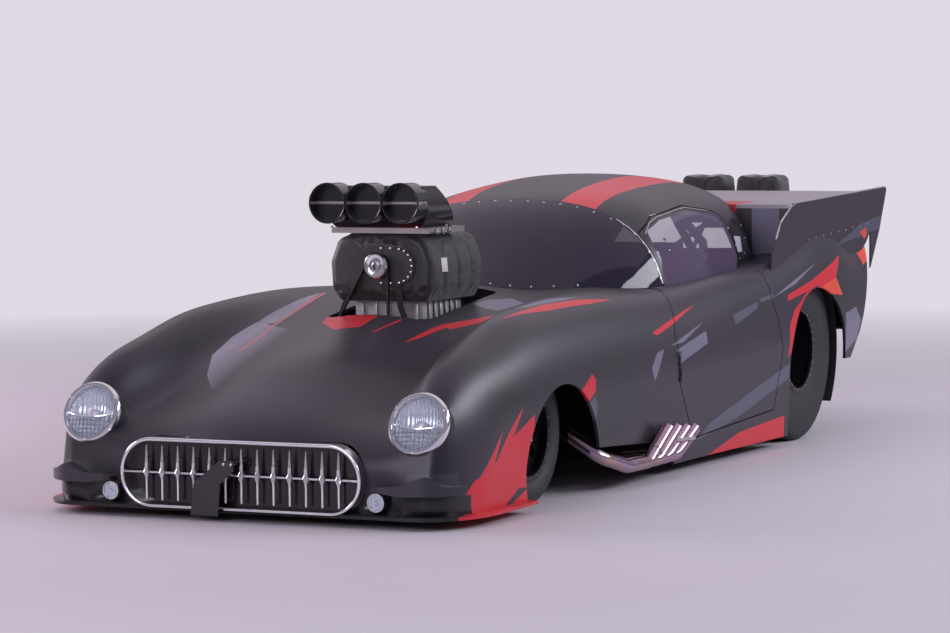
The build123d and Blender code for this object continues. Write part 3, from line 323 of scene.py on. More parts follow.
# %%
CHARCOAL = (0.018, 0.016, 0.023)
RED = (0.6, 0.01, 0.024)
ORANGE = (0.72, 0.07, 0.03)
SALMON = (0.66, 0.13, 0.12)
LAVENDER = (0.17, 0.155, 0.23)
PALE_LAVENDER = (0.3, 0.27, 0.36)
SLATE = (0.075, 0.08, 0.12)
PLUM = (0.024, 0.017, 0.032)
STRIPE_RED = (0.62, 0.035, 0.05)
SIDE_FLASHES = [
    (RED, [(2712, 30), (2279, 349), (2361, 246), (2540, 60)]),
    (RED, [(2351, 238), (2092, 428), (2172, 315), (2239, 223)]),
    (RED, [(2172, 315), (1990, 390), (1990, 100), (2181, 110), (2345, 235)]),
    (RED, [(2712, 30), (2540, 174), (2341, 240), (2056, 140), (2191, 83), (2330, 30)]),
    (RED, [(2190, 30), (2181, 58), (2000, 110), (1990, 30)]),
    (RED, [(1560, 440), (1427, 511), (1392, 487), (1399, 438), (1500, 380)]),
    (SLATE, [(1500, 372), (1400, 418), (1375, 357), (1420, 270), (1470, 270)]),
    (RED, [(728, 641), (453, 683), (28, 755), (484, 657), (683, 623)]),
    (LAVENDER, [(800, 491), (728, 550), (645, 562), (699, 505), (772, 432)]),
    (LAVENDER, [(562, 570), (146, 650), (410, 578)]),
    (LAVENDER, [(504, 549), (142, 610), (147, 556), (492, 486)]),
    (SLATE, [(-196, 662), (-498, 705), (-492, 678), (-203, 616)]),
    (SLATE, [(-541, 717), (-713, 736), (-686, 714), (-542, 703)]),
    (SLATE, [(293, 128), (132, 194), (-860, 400), (-860, 330), (-193, 189)]),
    (RED, [(420, 40), (186, 100), (-234, 122), (-790, 225), (-790, 40)]),
    (RED, [(-848, 691), (-862, 719), (-1174, 775), (-1262, 752), (-1154, 733)]),
    (RED, [(-1174, 775), (-1617, 880), (-1491, 775), (-1281, 720)]),
    (ORANGE, [(-1491, 775), (-1560, 683), (-1373, 700), (-1281, 736)]),
    (RED, [(-1281, 736), (-1300, 690), (-960, 600), (-913, 645), (-1102, 726)]),
    (RED, [(-836, 578), (-915, 650), (-1020, 640), (-900, 540), (-860, 500)]),
    (RED, [(-836, 578), (-930, 560), (-860, 440), (-832, 483)]),
    (RED, [(-832, 483), (-880, 460), (-811, 425)]),
    (LAVENDER, [(-686, 714), (-1273, 856), (-973, 765)]),
    (ORANGE, [(-2065, 975), (-2379, 1052), (-2174, 956), (-2200, 900)]),
    (ORANGE, [(-2000, 905), (-2065, 975), (-2200, 905), (-2268, 875), (-2014, 810)]),
    (LAVENDER, [(-1595, 592), (-1772, 614), (-1861, 541), (-1804, 454), (-1613, 397)]),
]
TOP_FLASHES = [
    (RED, [(2033, 259), (1603, 321), (1651, 387), (1795, 319)]),
    (RED, [(1603, 321), (1343, 434), (1160, 560), (1300, 580), (1651, 387)]),
    (RED, [(1912, 739), (1530, 743), (1175, 768), (904, 799), (1141, 801), (1547, 787)]),
    (LAVENDER, [(1180, 263), (1046, 285), (954, 348), (1050, 450), (1227, 408)]),
    (LAVENDER, [(1678, 700), (1384, 690), (1152, 758), (1350, 745), (1600, 735)]),
    (RED, [(1828, 113), (1618, 142), (1635, 155), (1830, 123)]),
    (RED, [(1680, -201), (1540, -250), (1605, 27), (1776, 30), (1815, -77)]),
]
SWOOSH = [(2394, -322), (2221, -450), (2039, -530), (1852, -540), (1613, -528), (1750, -270)]
SWOOSH_TAIL = [(1640, -528), (1211, -565), (988, -575), (1600, -450)]
PINSTRIPE = [(1981, -438), (1780, -435), (1509, -472), (1304, -510), (971, -564)]
PINSTRIPE_HALF = 6
print("flashes", len(SIDE_FLASHES) + len(TOP_FLASHES))

# %% [markdown]
# Behind each door window a black riveted panel carries the roof into the tail, with a bare pale label on it.
# Two stripes run back over the roof. The chin below the bumper ledges is gloss black.

# %%
QUARTER_PANEL = [(-722, 1108), (-757, 903), (-870, 893), (-1005, 980), (-1050, 1055)]
QUARTER_CORNER = [(-757, 903), (-731, 864), (-870, 893)]
BARE_LABEL = [(-775, 1000), (-868, 996), (-838, 925), (-768, 925)]
ROOF_STRIPE = (0.235, 0.405)
ROOF_UP = 1.02
STRIPE_END = -1.1
FLANK_SIDE = 0.86
SHOULDER_UP = 0.45
SWOOSH_FADE = (-0.5, -0.32)
CHIN_TOP = 0.127
CHIN_START = 2.53
LEDGE_TOP = 0.215
LEDGE_START = 2.6
HEM_TOP = 0.052
CHIN_BLACK = (0.01, 0.009, 0.012)
LEDGE_GREY = (0.034, 0.031, 0.042)
PANEL_BLACK = (0.006, 0.006, 0.008)
LABEL_PALE = (0.55, 0.54, 0.58)


def body_finish():
    """Satin charcoal wrap with its flashes, stripes, black panels and labels."""
    skin = Finish("body_wrap", CHARCOAL, 0.36, 0.2, Coat_Weight=0.1, Coat_Roughness=0.3, Sheen_Weight=0.03)
    x, y, z, side = skin.x, skin.y, skin.z, skin.side
    skin.paint(PLUM, skin.noise(1.3, 2.0).fade(0.4, 0.65))
    flank = side > FLANK_SIDE
    for colour, corners in SIDE_FLASHES:
        skin.paint(colour, inside(corners, x, z) * flank)
    on_top = z > SHOULDER_UP
    for colour, corners in TOP_FLASHES:
        skin.paint(colour, inside(corners, x, y) * on_top)
    outward = 1 - y.fade(*SWOOSH_FADE)
    swoosh = inside(SWOOSH, x, y) | inside(SWOOSH_TAIL, x, y)
    skin.paint(PALE_LAVENDER, swoosh * outward * on_top)
    for (x0, y0), (x1, y1) in zip(PINSTRIPE, PINSTRIPE[1:]):
        half = PINSTRIPE_HALF
        strip = [(x0, y0 + half), (x0, y0 - half), (x1, y1 - half), (x1, y1 + half)]
        skin.paint(SALMON, inside(strip, x, y) * on_top)
    stripe = side.between(*ROOF_STRIPE) * (z > ROOF_UP) * (x > STRIPE_END)
    skin.paint(STRIPE_RED, stripe)
    chin = (z < CHIN_TOP) * (x > CHIN_START)
    skin.paint(CHIN_BLACK, chin * (side < 0.915))
    hem = (z < HEM_TOP) * (side > 0.8) * x.between(2.0, LEDGE_START)
    skin.paint(RED, hem)
    ledge = z.between(CHIN_TOP, LEDGE_TOP) * (x > LEDGE_START) * (side > 0.545)
    skin.paint(LEDGE_GREY, ledge * ((x + side * 0.55) > 3.11))
    high = (side > 0.55) * (x < -0.7)
    quarter = (inside(QUARTER_PANEL, x, z) | inside(QUARTER_CORNER, x, z)) * high
    skin.paint(PANEL_BLACK, quarter)
    skin.paint(LABEL_PALE, inside(BARE_LABEL, x, z) * high)
    satin = blend(0.34, 0.43, skin.noise(160.0, 2.0))
    skin.set(Roughness=satin - (quarter | chin) * 0.22)
    skin.grain(0.03, 0.0004, 420.0, 1.0)
    return skin


body_wrap = body_finish()
dress(body_wrap, "front_clip", "body_shell", "door_left", "door_right")

# %% [markdown]
# The tail is a light satin deck held between two dark plates. Its upright front face is painted dark: partly
# its own dark film, partly painted shade, since that face stands in shadow.
# The plates carry a dark film of their own, much like the body's, with two flashes on it.

# %%
plate_wrap = Finish("plate_wrap", (0.03, 0.026, 0.036), 0.3, 0.3, Coat_Weight=0.3)
PLATE_FLASHES = [
    (SLATE, [(-1700, 920), (-2100, 1020), (-2480, 1060), (-2480, 990)]),
    (ORANGE, [(-2065, 975), (-2379, 1052), (-2174, 956), (-2200, 900)]),
]
for colour, corners in PLATE_FLASHES:
    plate_wrap.paint(colour, inside(corners, plate_wrap.x, plate_wrap.z))
plate_wrap.shine(0.26, 0.36, 60.0)
dress(plate_wrap, "spill_plate_left", "spill_plate_right")

DECK_UP = 1.125
deck = Finish("deck_panel", (0.34, 0.31, 0.35), 0.42, 0.2)
# Painted dark below DECK_UP: partly the front face's own dark film, partly painted shade for the shadow it
# stands in.
deck.paint((0.05, 0.04, 0.055), deck.z < DECK_UP)
deck.paint(LAVENDER, (deck.z < DECK_UP) * deck.side.between(0.7, 0.84))
deck.paint((0.6, 0.05, 0.06), deck.side.between(0.47, 0.62) * deck.z.between(1.09, 1.15))
deck.grain(0.05, 0.0008, 90.0, 2.0, (0.1, 1, 1))
deck.shine(0.36, 0.5, 30.0, 3.0, (0.1, 1, 1))
dress(deck, "rear_deck")

# %% [markdown]
# The windows are polycarbonate, which is thinner than glass and soon gets a faint haze.
# A pane is a smooth coated surface with a low alpha, so that the cage shows dimly behind it.
# The windscreen has a black band along its lower edge.


# %%
def tinted(name, colour, alpha):
    """Polycarbonate pane with a faint haze."""
    pane = Finish(name, colour, 0.03, 0.0, Alpha=alpha)
    pane.shine(0.03, 0.08, 2.2, 1.0)
    return pane


BAND_TOP = 0.8
BAND_START = 0.75
screen_pane = tinted("screen_pane", (0.02, 0.014, 0.036), 0.72)
hem = (screen_pane.z < BAND_TOP) * (screen_pane.x > BAND_START)
screen_pane.paint(PANEL_BLACK, hem)
screen_pane.set(Alpha=blend(0.74, 1.0, hem))
dress(screen_pane, "windscreen", "rear_window")
side_pane = tinted("side_pane", (0.16, 0.12, 0.2), 0.4)
side_pane.set(Alpha=blend(0.36, 0.44, side_pane.noise(1.5)))
dress(side_pane, "door_window_left", "door_window_right")

# %% [markdown]
# Bright plating is almost a mirror. What tells it from plain grey is a faint haze that comes and goes.
# In the grille a flat dark panel stands behind the teeth, so it is picked out by its place.


# %%
def chrome(name, tint=(0.78, 0.78, 0.82), roughness=0.08):
    """Bright plating with faint haze."""
    plating = Finish(name, tint, roughness, 1.0)
    plating.shine(roughness * 0.7, roughness * 1.8, 14.0)
    plating.grain(0.02, 0.0004, 60.0, 2.0)
    return plating


chrome_trim = chrome("chrome_trim")
tooth_chrome = chrome("grille_chrome", (0.84, 0.84, 0.88), 0.12)
PANEL_FRONT = ahead(932.5)
PANEL_HALF = (0.525, 0.127)
PANEL_UP = 0.18
panel = (tooth_chrome.x < PANEL_FRONT) * (tooth_chrome.side < PANEL_HALF[0])
panel = panel * (abs(tooth_chrome.z - PANEL_UP) < PANEL_HALF[1])
tooth_chrome.paint((0.012, 0.009, 0.012), panel)
tooth_chrome.set(Metallic=1 - panel)
dress(tooth_chrome, "grille")

gloss_black = Finish("gloss_black", (0.01, 0.01, 0.012), 0.16, 0.0, Coat_Weight=0.6)
gloss_black.grain(0.02, 0.0005, 40.0, 2.0)
dress(gloss_black, "timing_plate")

# %% [markdown]
# Racing rubber is matt on the tread, where it is scrubbed, and smoother on the wall.
# The wall carries fine moulded rings, made here by a sine of the distance from the hub.


# %%
def tyre_finish(name, hub, hub_up, tread_radius, ring):
    """Racing rubber: matt tread, smoother wall with fine rings."""
    rubber = Finish(name, (0.018, 0.018, 0.02), 0.72)
    reach = radius_from((hub, hub_up), rubber.x, rubber.z)
    worn = rubber.noise(26.0, 4.0)
    rubber.paint((0.034, 0.032, 0.036), worn.fade(0.45, 0.75))
    tread = reach > tread_radius
    rubber.paint((0.028, 0.026, 0.028), tread)
    rings = reach.wave(ring) * (reach < (tread_radius - 0.01))
    rubber.set(Roughness=blend(0.5, 0.85, tread | worn))
    rubber.bump(rings * 0.6 + worn * 0.4, 0.25, 0.0012)
    return rubber


front_rubber = tyre_finish("front_rubber", FRONT_AXLE, FRONT_HUB_UP, 0.275, 0.011)
rear_rubber = tyre_finish("rear_rubber", REAR_AXLE, REAR_HUB_UP, 0.418, 0.021)
dress(front_rubber, "front_tyre_left", "front_tyre_right")
dress(rear_rubber, "rear_tyre_left", "rear_tyre_right")

# %% [markdown]
# Black wheels, a painted frame, bare steel and cast alloy make up the running gear.
# Each differs by how it scatters light: paint is even, steel is brushed one way, a casting is pitted.

# %%
rim_black = Finish("rim_black", (0.022, 0.022, 0.027), 0.32, 0.6)
rim_black.shine(0.26, 0.42, 50.0)
dress(rim_black, "front_rim_left", "front_rim_right", "rear_rim_left", "rear_rim_right")

frame_paint = Finish("frame_paint", (0.02, 0.02, 0.023), 0.42, 0.1)
frame_paint.grain(0.05, 0.0005, 300.0, 2.0)
dress(frame_paint, "chassis_frame", "wheelie_bar")

bare_steel = Finish("bare_steel", (0.42, 0.34, 0.36), 0.34, 0.95)
bare_steel.shine(0.28, 0.5, 40.0, 3.0, (1, 0.1, 1))
dress(bare_steel, "knuckle_left", "knuckle_right", "tie_rods", "rear_axle")

cast_alloy = Finish("cast_alloy", (0.42, 0.42, 0.43), 0.5, 0.85)
cast_alloy.grain(0.25, 0.0008, 180.0, 4.0)
dress(cast_alloy, "engine_block", "drivetrain")

sheet_alloy = Finish("sheet_alloy", (0.06, 0.06, 0.065), 0.42, 0.7)
sheet_alloy.grain(0.06, 0.002, 20.0)
dress(sheet_alloy, "floor_pan", "firewall")

seat_shell = Finish("seat_shell", (0.02, 0.02, 0.022), 0.35)
crossed = (seat_shell.x + seat_shell.z).wave(0.008) * (seat_shell.y + seat_shell.z).wave(0.008)
seat_shell.bump(crossed, 0.15, 0.0006)
dress(seat_shell, "seat")

grip = Finish("grip_rubber", (0.02, 0.02, 0.022), 0.75)
grip.grain(0.3, 0.0008, 240.0, 2.0)
dress(grip, "steering_wheel", "wheelie_wheels")

# %% [markdown]
# The exhaust pipes were polished, then coloured by heat: straw near the engine, purple further on.
# Soft clouds of noise blend these tints, since heat never leaves a sharp edge.
# Inside the body the part of each pipe nearer the middle than its exit is painted dark: painted shade, for the
# shadow inside the body.

# %%
heat = Finish("header_steel", (0.46, 0.31, 0.38), 0.18, 1.0)
tint = heat.noise(7.0, 3.0, (1, 1, 2))
heat.paint((0.5, 0.35, 0.3), (tint * 0.2 + heat.x * 0.5).fade(0.45, 0.75))
heat.paint((0.38, 0.28, 0.47), tint.fade(0.45, 0.7))
PIPE_EXIT = 0.8
# Painted shade: the pipes inside the body, nearer the middle than their exit, are painted dark.
heat.paint((0.045, 0.035, 0.045), heat.side < PIPE_EXIT)
heat.shine(0.12, 0.3, 30.0, 4.0)
dress(heat, "header_left", "header_right")

# %% [markdown]
# The supercharger wears a black fabric blanket, quilted and creased, over a cast case.
# One solid stands for both. The case below and the drive cover ahead are picked out by their place.

# %%
CASE_TOP = 0.802
COVER_BACK = ahead(-258)
THREAD = 0.003
QUILT = 0.12
cloth = Finish("blanket_cloth", (0.01, 0.01, 0.012), 0.62, 0.0, Sheen_Weight=0.25)
case = cloth.z < CASE_TOP
cloth.paint((0.4, 0.38, 0.39), case)
cover = cloth.x > COVER_BACK
cloth.paint((0.012, 0.012, 0.014), cover)
cloth.set(Metallic=case, Roughness=blend(0.62, 0.32, case | cover))
crosses = (cloth.x + cloth.z).wave(THREAD) * (cloth.y - cloth.z).wave(THREAD)
quilt = cloth.x.wave(QUILT) * (1 - case)
cloth.bump(cloth.noise(9.0) * 0.8 + crosses * 0.08 + quilt * 0.3, 0.55, 0.008)
dress(cloth, "supercharger")

belt = Finish("belt_rubber", (0.014, 0.014, 0.016), 0.6)
PULLEY_RADIUS = 0.046
BELT_TOOTH = 0.014
pulley = radius_from((0.0, DRIVE_UP), belt.y, belt.z) < PULLEY_RADIUS
belt.paint((0.5, 0.5, 0.54), pulley)
belt.set(Metallic=pulley, Roughness=blend(0.6, 0.2, pulley))
belt.bump(belt.z.wave(BELT_TOOTH) * (1 - pulley), 0.6, 0.002)
dress(belt, "blower_drive")

hat = Finish("hat_black", (0.012, 0.012, 0.015), 0.28, 0.3, Coat_Weight=0.4)
BASE_TOP = 1.1155
SHAFT_RADIUS = 0.0065
base_plate = hat.z < BASE_TOP
hat.paint((0.46, 0.42, 0.42), base_plate)
shaft = (abs(hat.z - HAT_UP) < SHAFT_RADIUS) * hat.x.between(ahead(-185), ahead(-102))
hat.paint((0.55, 0.52, 0.55), shaft)
hat.set(Metallic=blend(0.3, 0.9, base_plate | shaft))
hat.grain(0.06, 0.0008, 70.0)
dress(hat, "injector_hat")

# %% [markdown]
# Finishes for the small pieces: silver screws, brushed alloy, webbing, pale labels, clear lenses with
# their bowls and guards, and the cloth of the parachute packs.

# %%
silver = Finish("silver_bolts", (0.62, 0.62, 0.66), 0.25, 1.0)
silver.grain(0.05, 0.0004, 200.0, 2.0)
alloy = Finish("brushed_alloy", (0.56, 0.54, 0.56), 0.32, 0.95)
alloy.grain(0.08, 0.0005, 80.0, 3.0, (0.1, 1, 1))
webbing = Finish("webbing", (0.014, 0.014, 0.016), 0.75, 0.0, Sheen_Weight=0.3)
webbing.bump((webbing.x + webbing.y + webbing.z).wave(THREAD), 0.4, 0.0006)
label = Finish("bare_label", (0.6, 0.58, 0.58), 0.5)
label.grain(0.05, 0.0003, 60.0, 2.0)
lens = Finish("lamp_lens", (0.75, 0.8, 0.88), 0.06, 0.0, Alpha=0.28)
lens.bump(lens.y.wave(0.011) + lens.z.wave(0.03) * 0.4, 0.3, 0.0015)
reflector = Finish("lamp_bowl", (0.6, 0.68, 0.8), 0.22, 1.0)
reflector.bump(reflector.y.wave(0.016) + reflector.noise(14.0, 2.0), 0.6, 0.004)
reflector.shine(0.15, 0.4, 20.0, 2.0)
guard_wire = Finish("guard_wire", (0.2, 0.22, 0.26), 0.35, 0.9)
guard_wire.grain(0.05, 0.0003, 300.0, 1.0)
chute_cloth = Finish("chute_cloth", (0.016, 0.015, 0.018), 0.82, 0.0, Sheen_Weight=0.4)
grain = (chute_cloth.x + chute_cloth.z).wave(0.0025) * chute_cloth.y.wave(0.0025)
chute_cloth.bump(grain * 0.2 + chute_cloth.noise(30.0), 0.35, 0.003)
print("small finishes ready")

# %% [markdown]
# How a piece is modelled by hand, with one helper for each kind: turned, plate, bar, strap and studs.
# Nearly every piece starts from one corner in edit mode, and the corner is drawn out into a line.
# A line is then spun into a turned piece, filled and extruded into a plate, or pulled sideways into a strap.
# Screw heads are cylinders with a bevelled top, copied to their places.
# A piece whose name says left is mirrored once it is finished, and the twin gets a mesh of its own.
# A piece rides on the chassis unless another body is named, and one marked single has no twin.


# %%
def mode(kind):
    """Goes to edit or object mode."""
    bpy.ops.object.mode_set(mode=kind)


def pick_all():
    """Selects the whole mesh in edit mode."""
    bpy.ops.mesh.select_all(action="SELECT")


def duplicate(made):
    """Copy of an object, with a mesh of its own."""
    other = made.copy()
    other.data = made.data.copy()
    bpy.context.scene.collection.objects.link(other)
    return other


def settle(made, name, finish, body="chassis", single=False, smooth=35):
    """Finishes a piece: place in the mesh, smooth shading, finish, and the body that it rides on."""
    bpy.ops.object.select_all(action="DESELECT")
    made.select_set(True)
    bpy.context.view_layer.objects.active = made
    bpy.ops.object.transform_apply()
    bpy.ops.object.shade_smooth_by_angle(angle=math.radians(smooth))
    made.data.materials.clear()
    made.data.materials.append(finish.material)
    made.name = name
    if "left" in name and not single:
        other = duplicate(made)
        other.data.transform(Matrix.Scale(-1, 4, (0, 1, 0)))
        other.data.flip_normals()
        other.name = name.replace("left", "right")
        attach(other, body.replace("left", "right"))
    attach(made, body)
    return made


def trace(points):
    """New mesh in edit mode: one corner, drawn out along points into a line."""
    bpy.ops.mesh.primitive_plane_add(size=0.01)
    mode("EDIT")
    pick_all()
    bpy.ops.mesh.merge(type="CENTER")
    bpy.ops.transform.translate(value=Vector(points[0]))
    for before, after in zip(points, points[1:]):
        step = Vector(after) - Vector(before)
        bpy.ops.mesh.extrude_vertices_move(TRANSFORM_OT_translate={"value": step})
    pick_all()
    return bpy.context.object


def close_up():
    """Welds doubled corners, turns the faces outwards and leaves edit mode."""
    pick_all()
    bpy.ops.mesh.remove_doubles(threshold=0.00001)
    bpy.ops.mesh.normals_make_consistent(inside=False)
    mode("OBJECT")


def turned(name, finish, profile, place, direction, steps=64, **ride):
    """Turned piece: a line of (radius, height) corners, in millimetres, spun round its axis."""
    made = trace([(radius / 1000, 0, height / 1000) for radius, height in profile])
    bpy.ops.mesh.spin(steps=steps, angle=2 * math.pi, center=(0, 0, 0), axis=(0, 0, 1))
    close_up()
    made.rotation_euler = Vector(direction).to_track_quat("Z", "Y").to_euler()
    made.location = place
    return settle(made, name, finish, **ride)


def plate(name, finish, corners, thickness, direction, **ride):
    """Flat plate: its outline is filled, extruded and bevelled."""
    made = trace(corners)
    bpy.ops.mesh.edge_face_add()
    lift = Vector(direction).normalized() * thickness
    bpy.ops.mesh.extrude_region_move(TRANSFORM_OT_translate={"value": lift})
    pick_all()
    bpy.ops.mesh.bevel(offset=thickness * 0.2, segments=2)
    close_up()
    return settle(made, name, finish, **ride)


def bar(name, finish, points, thickness, **ride):
    """Round bar: a line made into a curve, given its thickness and made a mesh again."""
    made = trace(points)
    mode("OBJECT")
    bpy.ops.object.convert(target="CURVE")
    made = bpy.context.object
    made.data.bevel_depth = thickness
    made.data.bevel_resolution = 3
    made.data.use_fill_caps = True
    bpy.ops.object.convert(target="MESH")
    made = bpy.context.object
    mode("EDIT")
    close_up()
    return settle(made, name, finish, **ride)


def strap(name, finish, points, across, thickness, **ride):
    """Flat strap: a short edge pulled along points, then given its thickness."""
    half = Vector(across) / 2
    made = trace([Vector(points[0]) - half, Vector(points[0]) + half])
    for before, after in zip(points, points[1:]):
        step = Vector(after) - Vector(before)
        bpy.ops.mesh.extrude_edges_move(TRANSFORM_OT_translate={"value": step})
    mode("OBJECT")
    solid = made.modifiers.new("thickness", "SOLIDIFY")
    solid.thickness = thickness
    solid.offset = 0
    bpy.ops.object.modifier_apply(modifier="thickness")
    mode("EDIT")
    close_up()
    return settle(made, name, finish, **ride)


def pick_top(made):
    """Selects the faces that look straight up, in edit mode."""
    bpy.ops.mesh.select_mode(type="FACE")
    shape = bmesh.from_edit_mesh(made.data)
    for face in shape.faces:
        face.select_set(face.normal.z > 0.9)
    bmesh.update_edit_mesh(made.data)


def stand(made, place, direction):
    """Stands an object on a place, square to a direction."""
    turn = Vector(direction).to_track_quat("Z", "Y").to_matrix().to_4x4()
    made.matrix_world = Matrix.Translation(place) @ turn
    made.select_set(True)


def studs(name, finish, places, radius, height, sides=10, **ride):
    """Screw heads: one is bevelled by hand, then copied to every place, and the copies are joined."""
    middle = (0, 0, height / 2)
    bpy.ops.mesh.primitive_cylinder_add(vertices=sides, radius=radius, depth=height, location=middle)
    head = bpy.context.object
    bpy.ops.object.transform_apply()
    mode("EDIT")
    pick_top(head)
    bpy.ops.mesh.bevel(offset=min(height * 0.5, radius * 0.4), segments=2)
    bpy.ops.mesh.select_mode(type="VERT")
    mode("OBJECT")
    for place, direction in places[1:]:
        stand(duplicate(head), place, direction)
    stand(head, *places[0])
    bpy.context.view_layer.objects.active = head
    if len(places) > 1:
        bpy.ops.object.join()
    return settle(bpy.context.object, name, finish, **ride)


FAR_LEFT = 1.3


def meet(node, start, direction):
    """Where a ray from a point meets a CAD node, with the surface's outward direction there."""
    found, place, normal, _ = nodes[node].ray_cast(Vector(start), Vector(direction).normalized())
    if not found:
        return None
    if normal.dot(Vector(direction)) > 0:
        normal = -normal
    return place, normal


def from_left(node, x, z):
    """Where a level ray from the car's left meets a CAD node."""
    return meet(node, (x, FAR_LEFT, z), (0, -1, 0))


def kept(met):
    """The rays of a row that met something."""
    return [item for item in met if item is not None]


def lifted(met, height):
    """Places a little above the surface that the rays met."""
    return [place + normal * height for place, normal in kept(met)]


print("helpers ready")

# %% [markdown]
# A headlamp is a plated ring round a domed lens, with a polished bowl and a bulb behind it.
# All of these are turned pieces, so each is a line of a few corners spun round the lamp's axis.
# A wire guard covers the lower half: bars that follow the dome, a few millimetres proud of it.

# %%
LAMP_LEFT = Vector((ahead(872), 0.738, 0.401))
BEZEL = [(104, 2), (105, 9), (111, 16), (120, 16), (127, 10), (130, 0), (130, -11), (104, -11), (104, 2)]
BOWL = [(106, -4), (100, -16), (80, -34), (45, -50), (0, -56)]
LENS = [(106, 3), (97, 10), (78, 15.5), (52, 19.5), (26, 21.8), (0, 22.5)]
BULB = [(20, -50), (22, -20), (16, -6), (0, -3)]
LAMP_LIFT = math.radians(22)
lamp_axis = Vector((math.cos(LAMP_LIFT), 0, math.sin(LAMP_LIFT)))
lamp_top = Vector((-math.sin(LAMP_LIFT), 0, math.cos(LAMP_LIFT)))
bezel = turned("lamp_bezel_left", chrome_trim, BEZEL, LAMP_LEFT, lamp_axis, 96)
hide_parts("headlamp_left")
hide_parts("headlamp_right")
turned("lamp_bowl_left", reflector, BOWL, LAMP_LEFT, lamp_axis, 64)
turned("lamp_lens_left", lens, LENS, LAMP_LEFT, lamp_axis, 64)
turned("lamp_bulb_left", alloy, BULB, LAMP_LEFT, lamp_axis, 32)
LENS_EDGE = 0.106
LENS_FOOT = 0.003
LENS_RISE = 0.0195
GUARD_EDGE = 0.102
GUARD_BOW = 1.9
GUARD_DROP = 0.026
WIRE_PITCH = 0.0185
WIRE_RADIUS = 0.0016
ROW_START = -0.04
ROW_PITCH = 0.017
SCREW_RING = 0.118
SCREW_TURNS = (0.5, 2.6, 4.7)


def on_lens(across, upward, proud):
    """Point on the domed lens, given across and up the lamp's face."""
    reach = math.hypot(across, upward) / LENS_EDGE
    rise = LENS_FOOT + LENS_RISE * (1 - min(reach, 1.0) ** 2)
    return LAMP_LEFT + Vector((0, across, 0)) + lamp_top * upward + lamp_axis * (rise + proud)


def guard_top(across):
    """Height of the guard's bowed upper bar."""
    return GUARD_BOW * across * across - GUARD_DROP


arc = [GUARD_EDGE * step / 6 for step in range(-6, 7)]
curved = [on_lens(across, guard_top(across), 0.004) for across in arc]
bar("lamp_bar_left", chrome_trim, curved, 0.0034)
for index in range(-5, 6):
    across = index * WIRE_PITCH
    low = -math.sqrt(GUARD_EDGE ** 2 - across ** 2)
    high = guard_top(across)
    wire = [on_lens(across, low + (high - low) * step / 4, 0.003) for step in range(5)]
    bar(f"lamp_wire_left_{index + 6}", guard_wire, wire, WIRE_RADIUS)
for index in range(4):
    upward = ROW_START - index * ROW_PITCH
    reach = math.sqrt(GUARD_EDGE ** 2 - upward ** 2)
    wire = [on_lens(reach * (step / 4 - 1), upward, 0.0045) for step in range(9)]
    bar(f"lamp_row_left_{index}", guard_wire, wire, WIRE_RADIUS)
ring = [(SCREW_RING * math.cos(turn), SCREW_RING * math.sin(turn)) for turn in SCREW_TURNS]
spots = [(LAMP_LEFT + Vector((0, u, 0)) + lamp_top * v + lamp_axis * 0.0155, lamp_axis) for u, v in ring]
studs("lamp_screws_left", silver, spots, 0.004, 0.002)

# %% [markdown]
# The parking lamps are small domed lenses in plated rings on the bumper ledges.
# The black timing plate that the staging lights see hangs before the grille on two screws.

# %%
PARKING_LENS = [(34, 0), (34, 4), (30, 9), (18, 12.5), (0, 13.5)]
PARKING_BOWL = [(33, 1.5), (20, 1), (10, 1.5), (7, 6), (0, 7)]
PARKING_RING = [(33.5, 0), (33.5, 6), (36, 6), (37.5, 3), (37.5, 0)]
parking_place = Vector((ahead(962.3), 0.596, 0.1))
parking = turned("parking_lens_left", lens, PARKING_LENS, parking_place, (1, 0, 0), 48)
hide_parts("parking_lamp_left")
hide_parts("parking_lamp_right")
turned("parking_bowl_left", reflector, PARKING_BOWL, parking_place, (1, 0, 0), 48)
turned("parking_ring_left", chrome_trim, PARKING_RING, parking_place, (1, 0, 0), 48)
PLATE_FRONT = ahead(1006)
plate_screws = [((PLATE_FRONT, side, 0.228), (1, 0, 0)) for side in (-0.02, -0.054)]
studs("plate_screws", silver, plate_screws, 0.006, 0.003)

# %% [markdown]
# Screws hold the windscreen along its whole border. Their places are found on the pane itself.
# A row of level rays is sent at the pane, the first and last that meet it lie on its border.
# Each screw sits a little inside that border and stands square to the pane.


# %%
def border(starts, direction, inset):
    """The first and last place, counted inset rays inwards, where a row of rays meets the windscreen."""
    hits = kept(meet("windscreen", start, direction) for start in starts)
    if len(hits) <= 2 * inset:
        return []
    return [hits[inset], hits[-1 - inset]]


RAY_STEP = 0.003
FAR_AHEAD = 3.0
SCREEN_TOP = 1.205
SCREEN_SIDE = 0.1
SCREW_PITCH = 0.082
SIDE_LOW = 0.845
SIDE_PITCH = 0.04
screen_screws = []
for index in range(-6, 7):
    y = index * SCREW_PITCH
    rows = [(FAR_AHEAD, y, SCREEN_TOP - RAY_STEP * step) for step in range(135)]
    screen_screws.extend(border(rows, (-1, 0, 0), 3))
for hand in (-1, 1):
    for index in range(7):
        z = SIDE_LOW + SIDE_PITCH * index
        columns = [(SCREEN_SIDE + RAY_STEP * step, hand * FAR_LEFT, z) for step in range(60)]
        screen_screws.extend(border(columns, (0, -hand, 0), 4)[:1])
studs("screen_screws", silver, screen_screws, 0.005, 0.0025)
print("windscreen screws", len(screen_screws))

# %% [markdown]
# Thin polished edges frame the glass: one down each side of the windscreen, one along each door's top.
# The black quarter panels are riveted on, and each door window has two small black grommets.

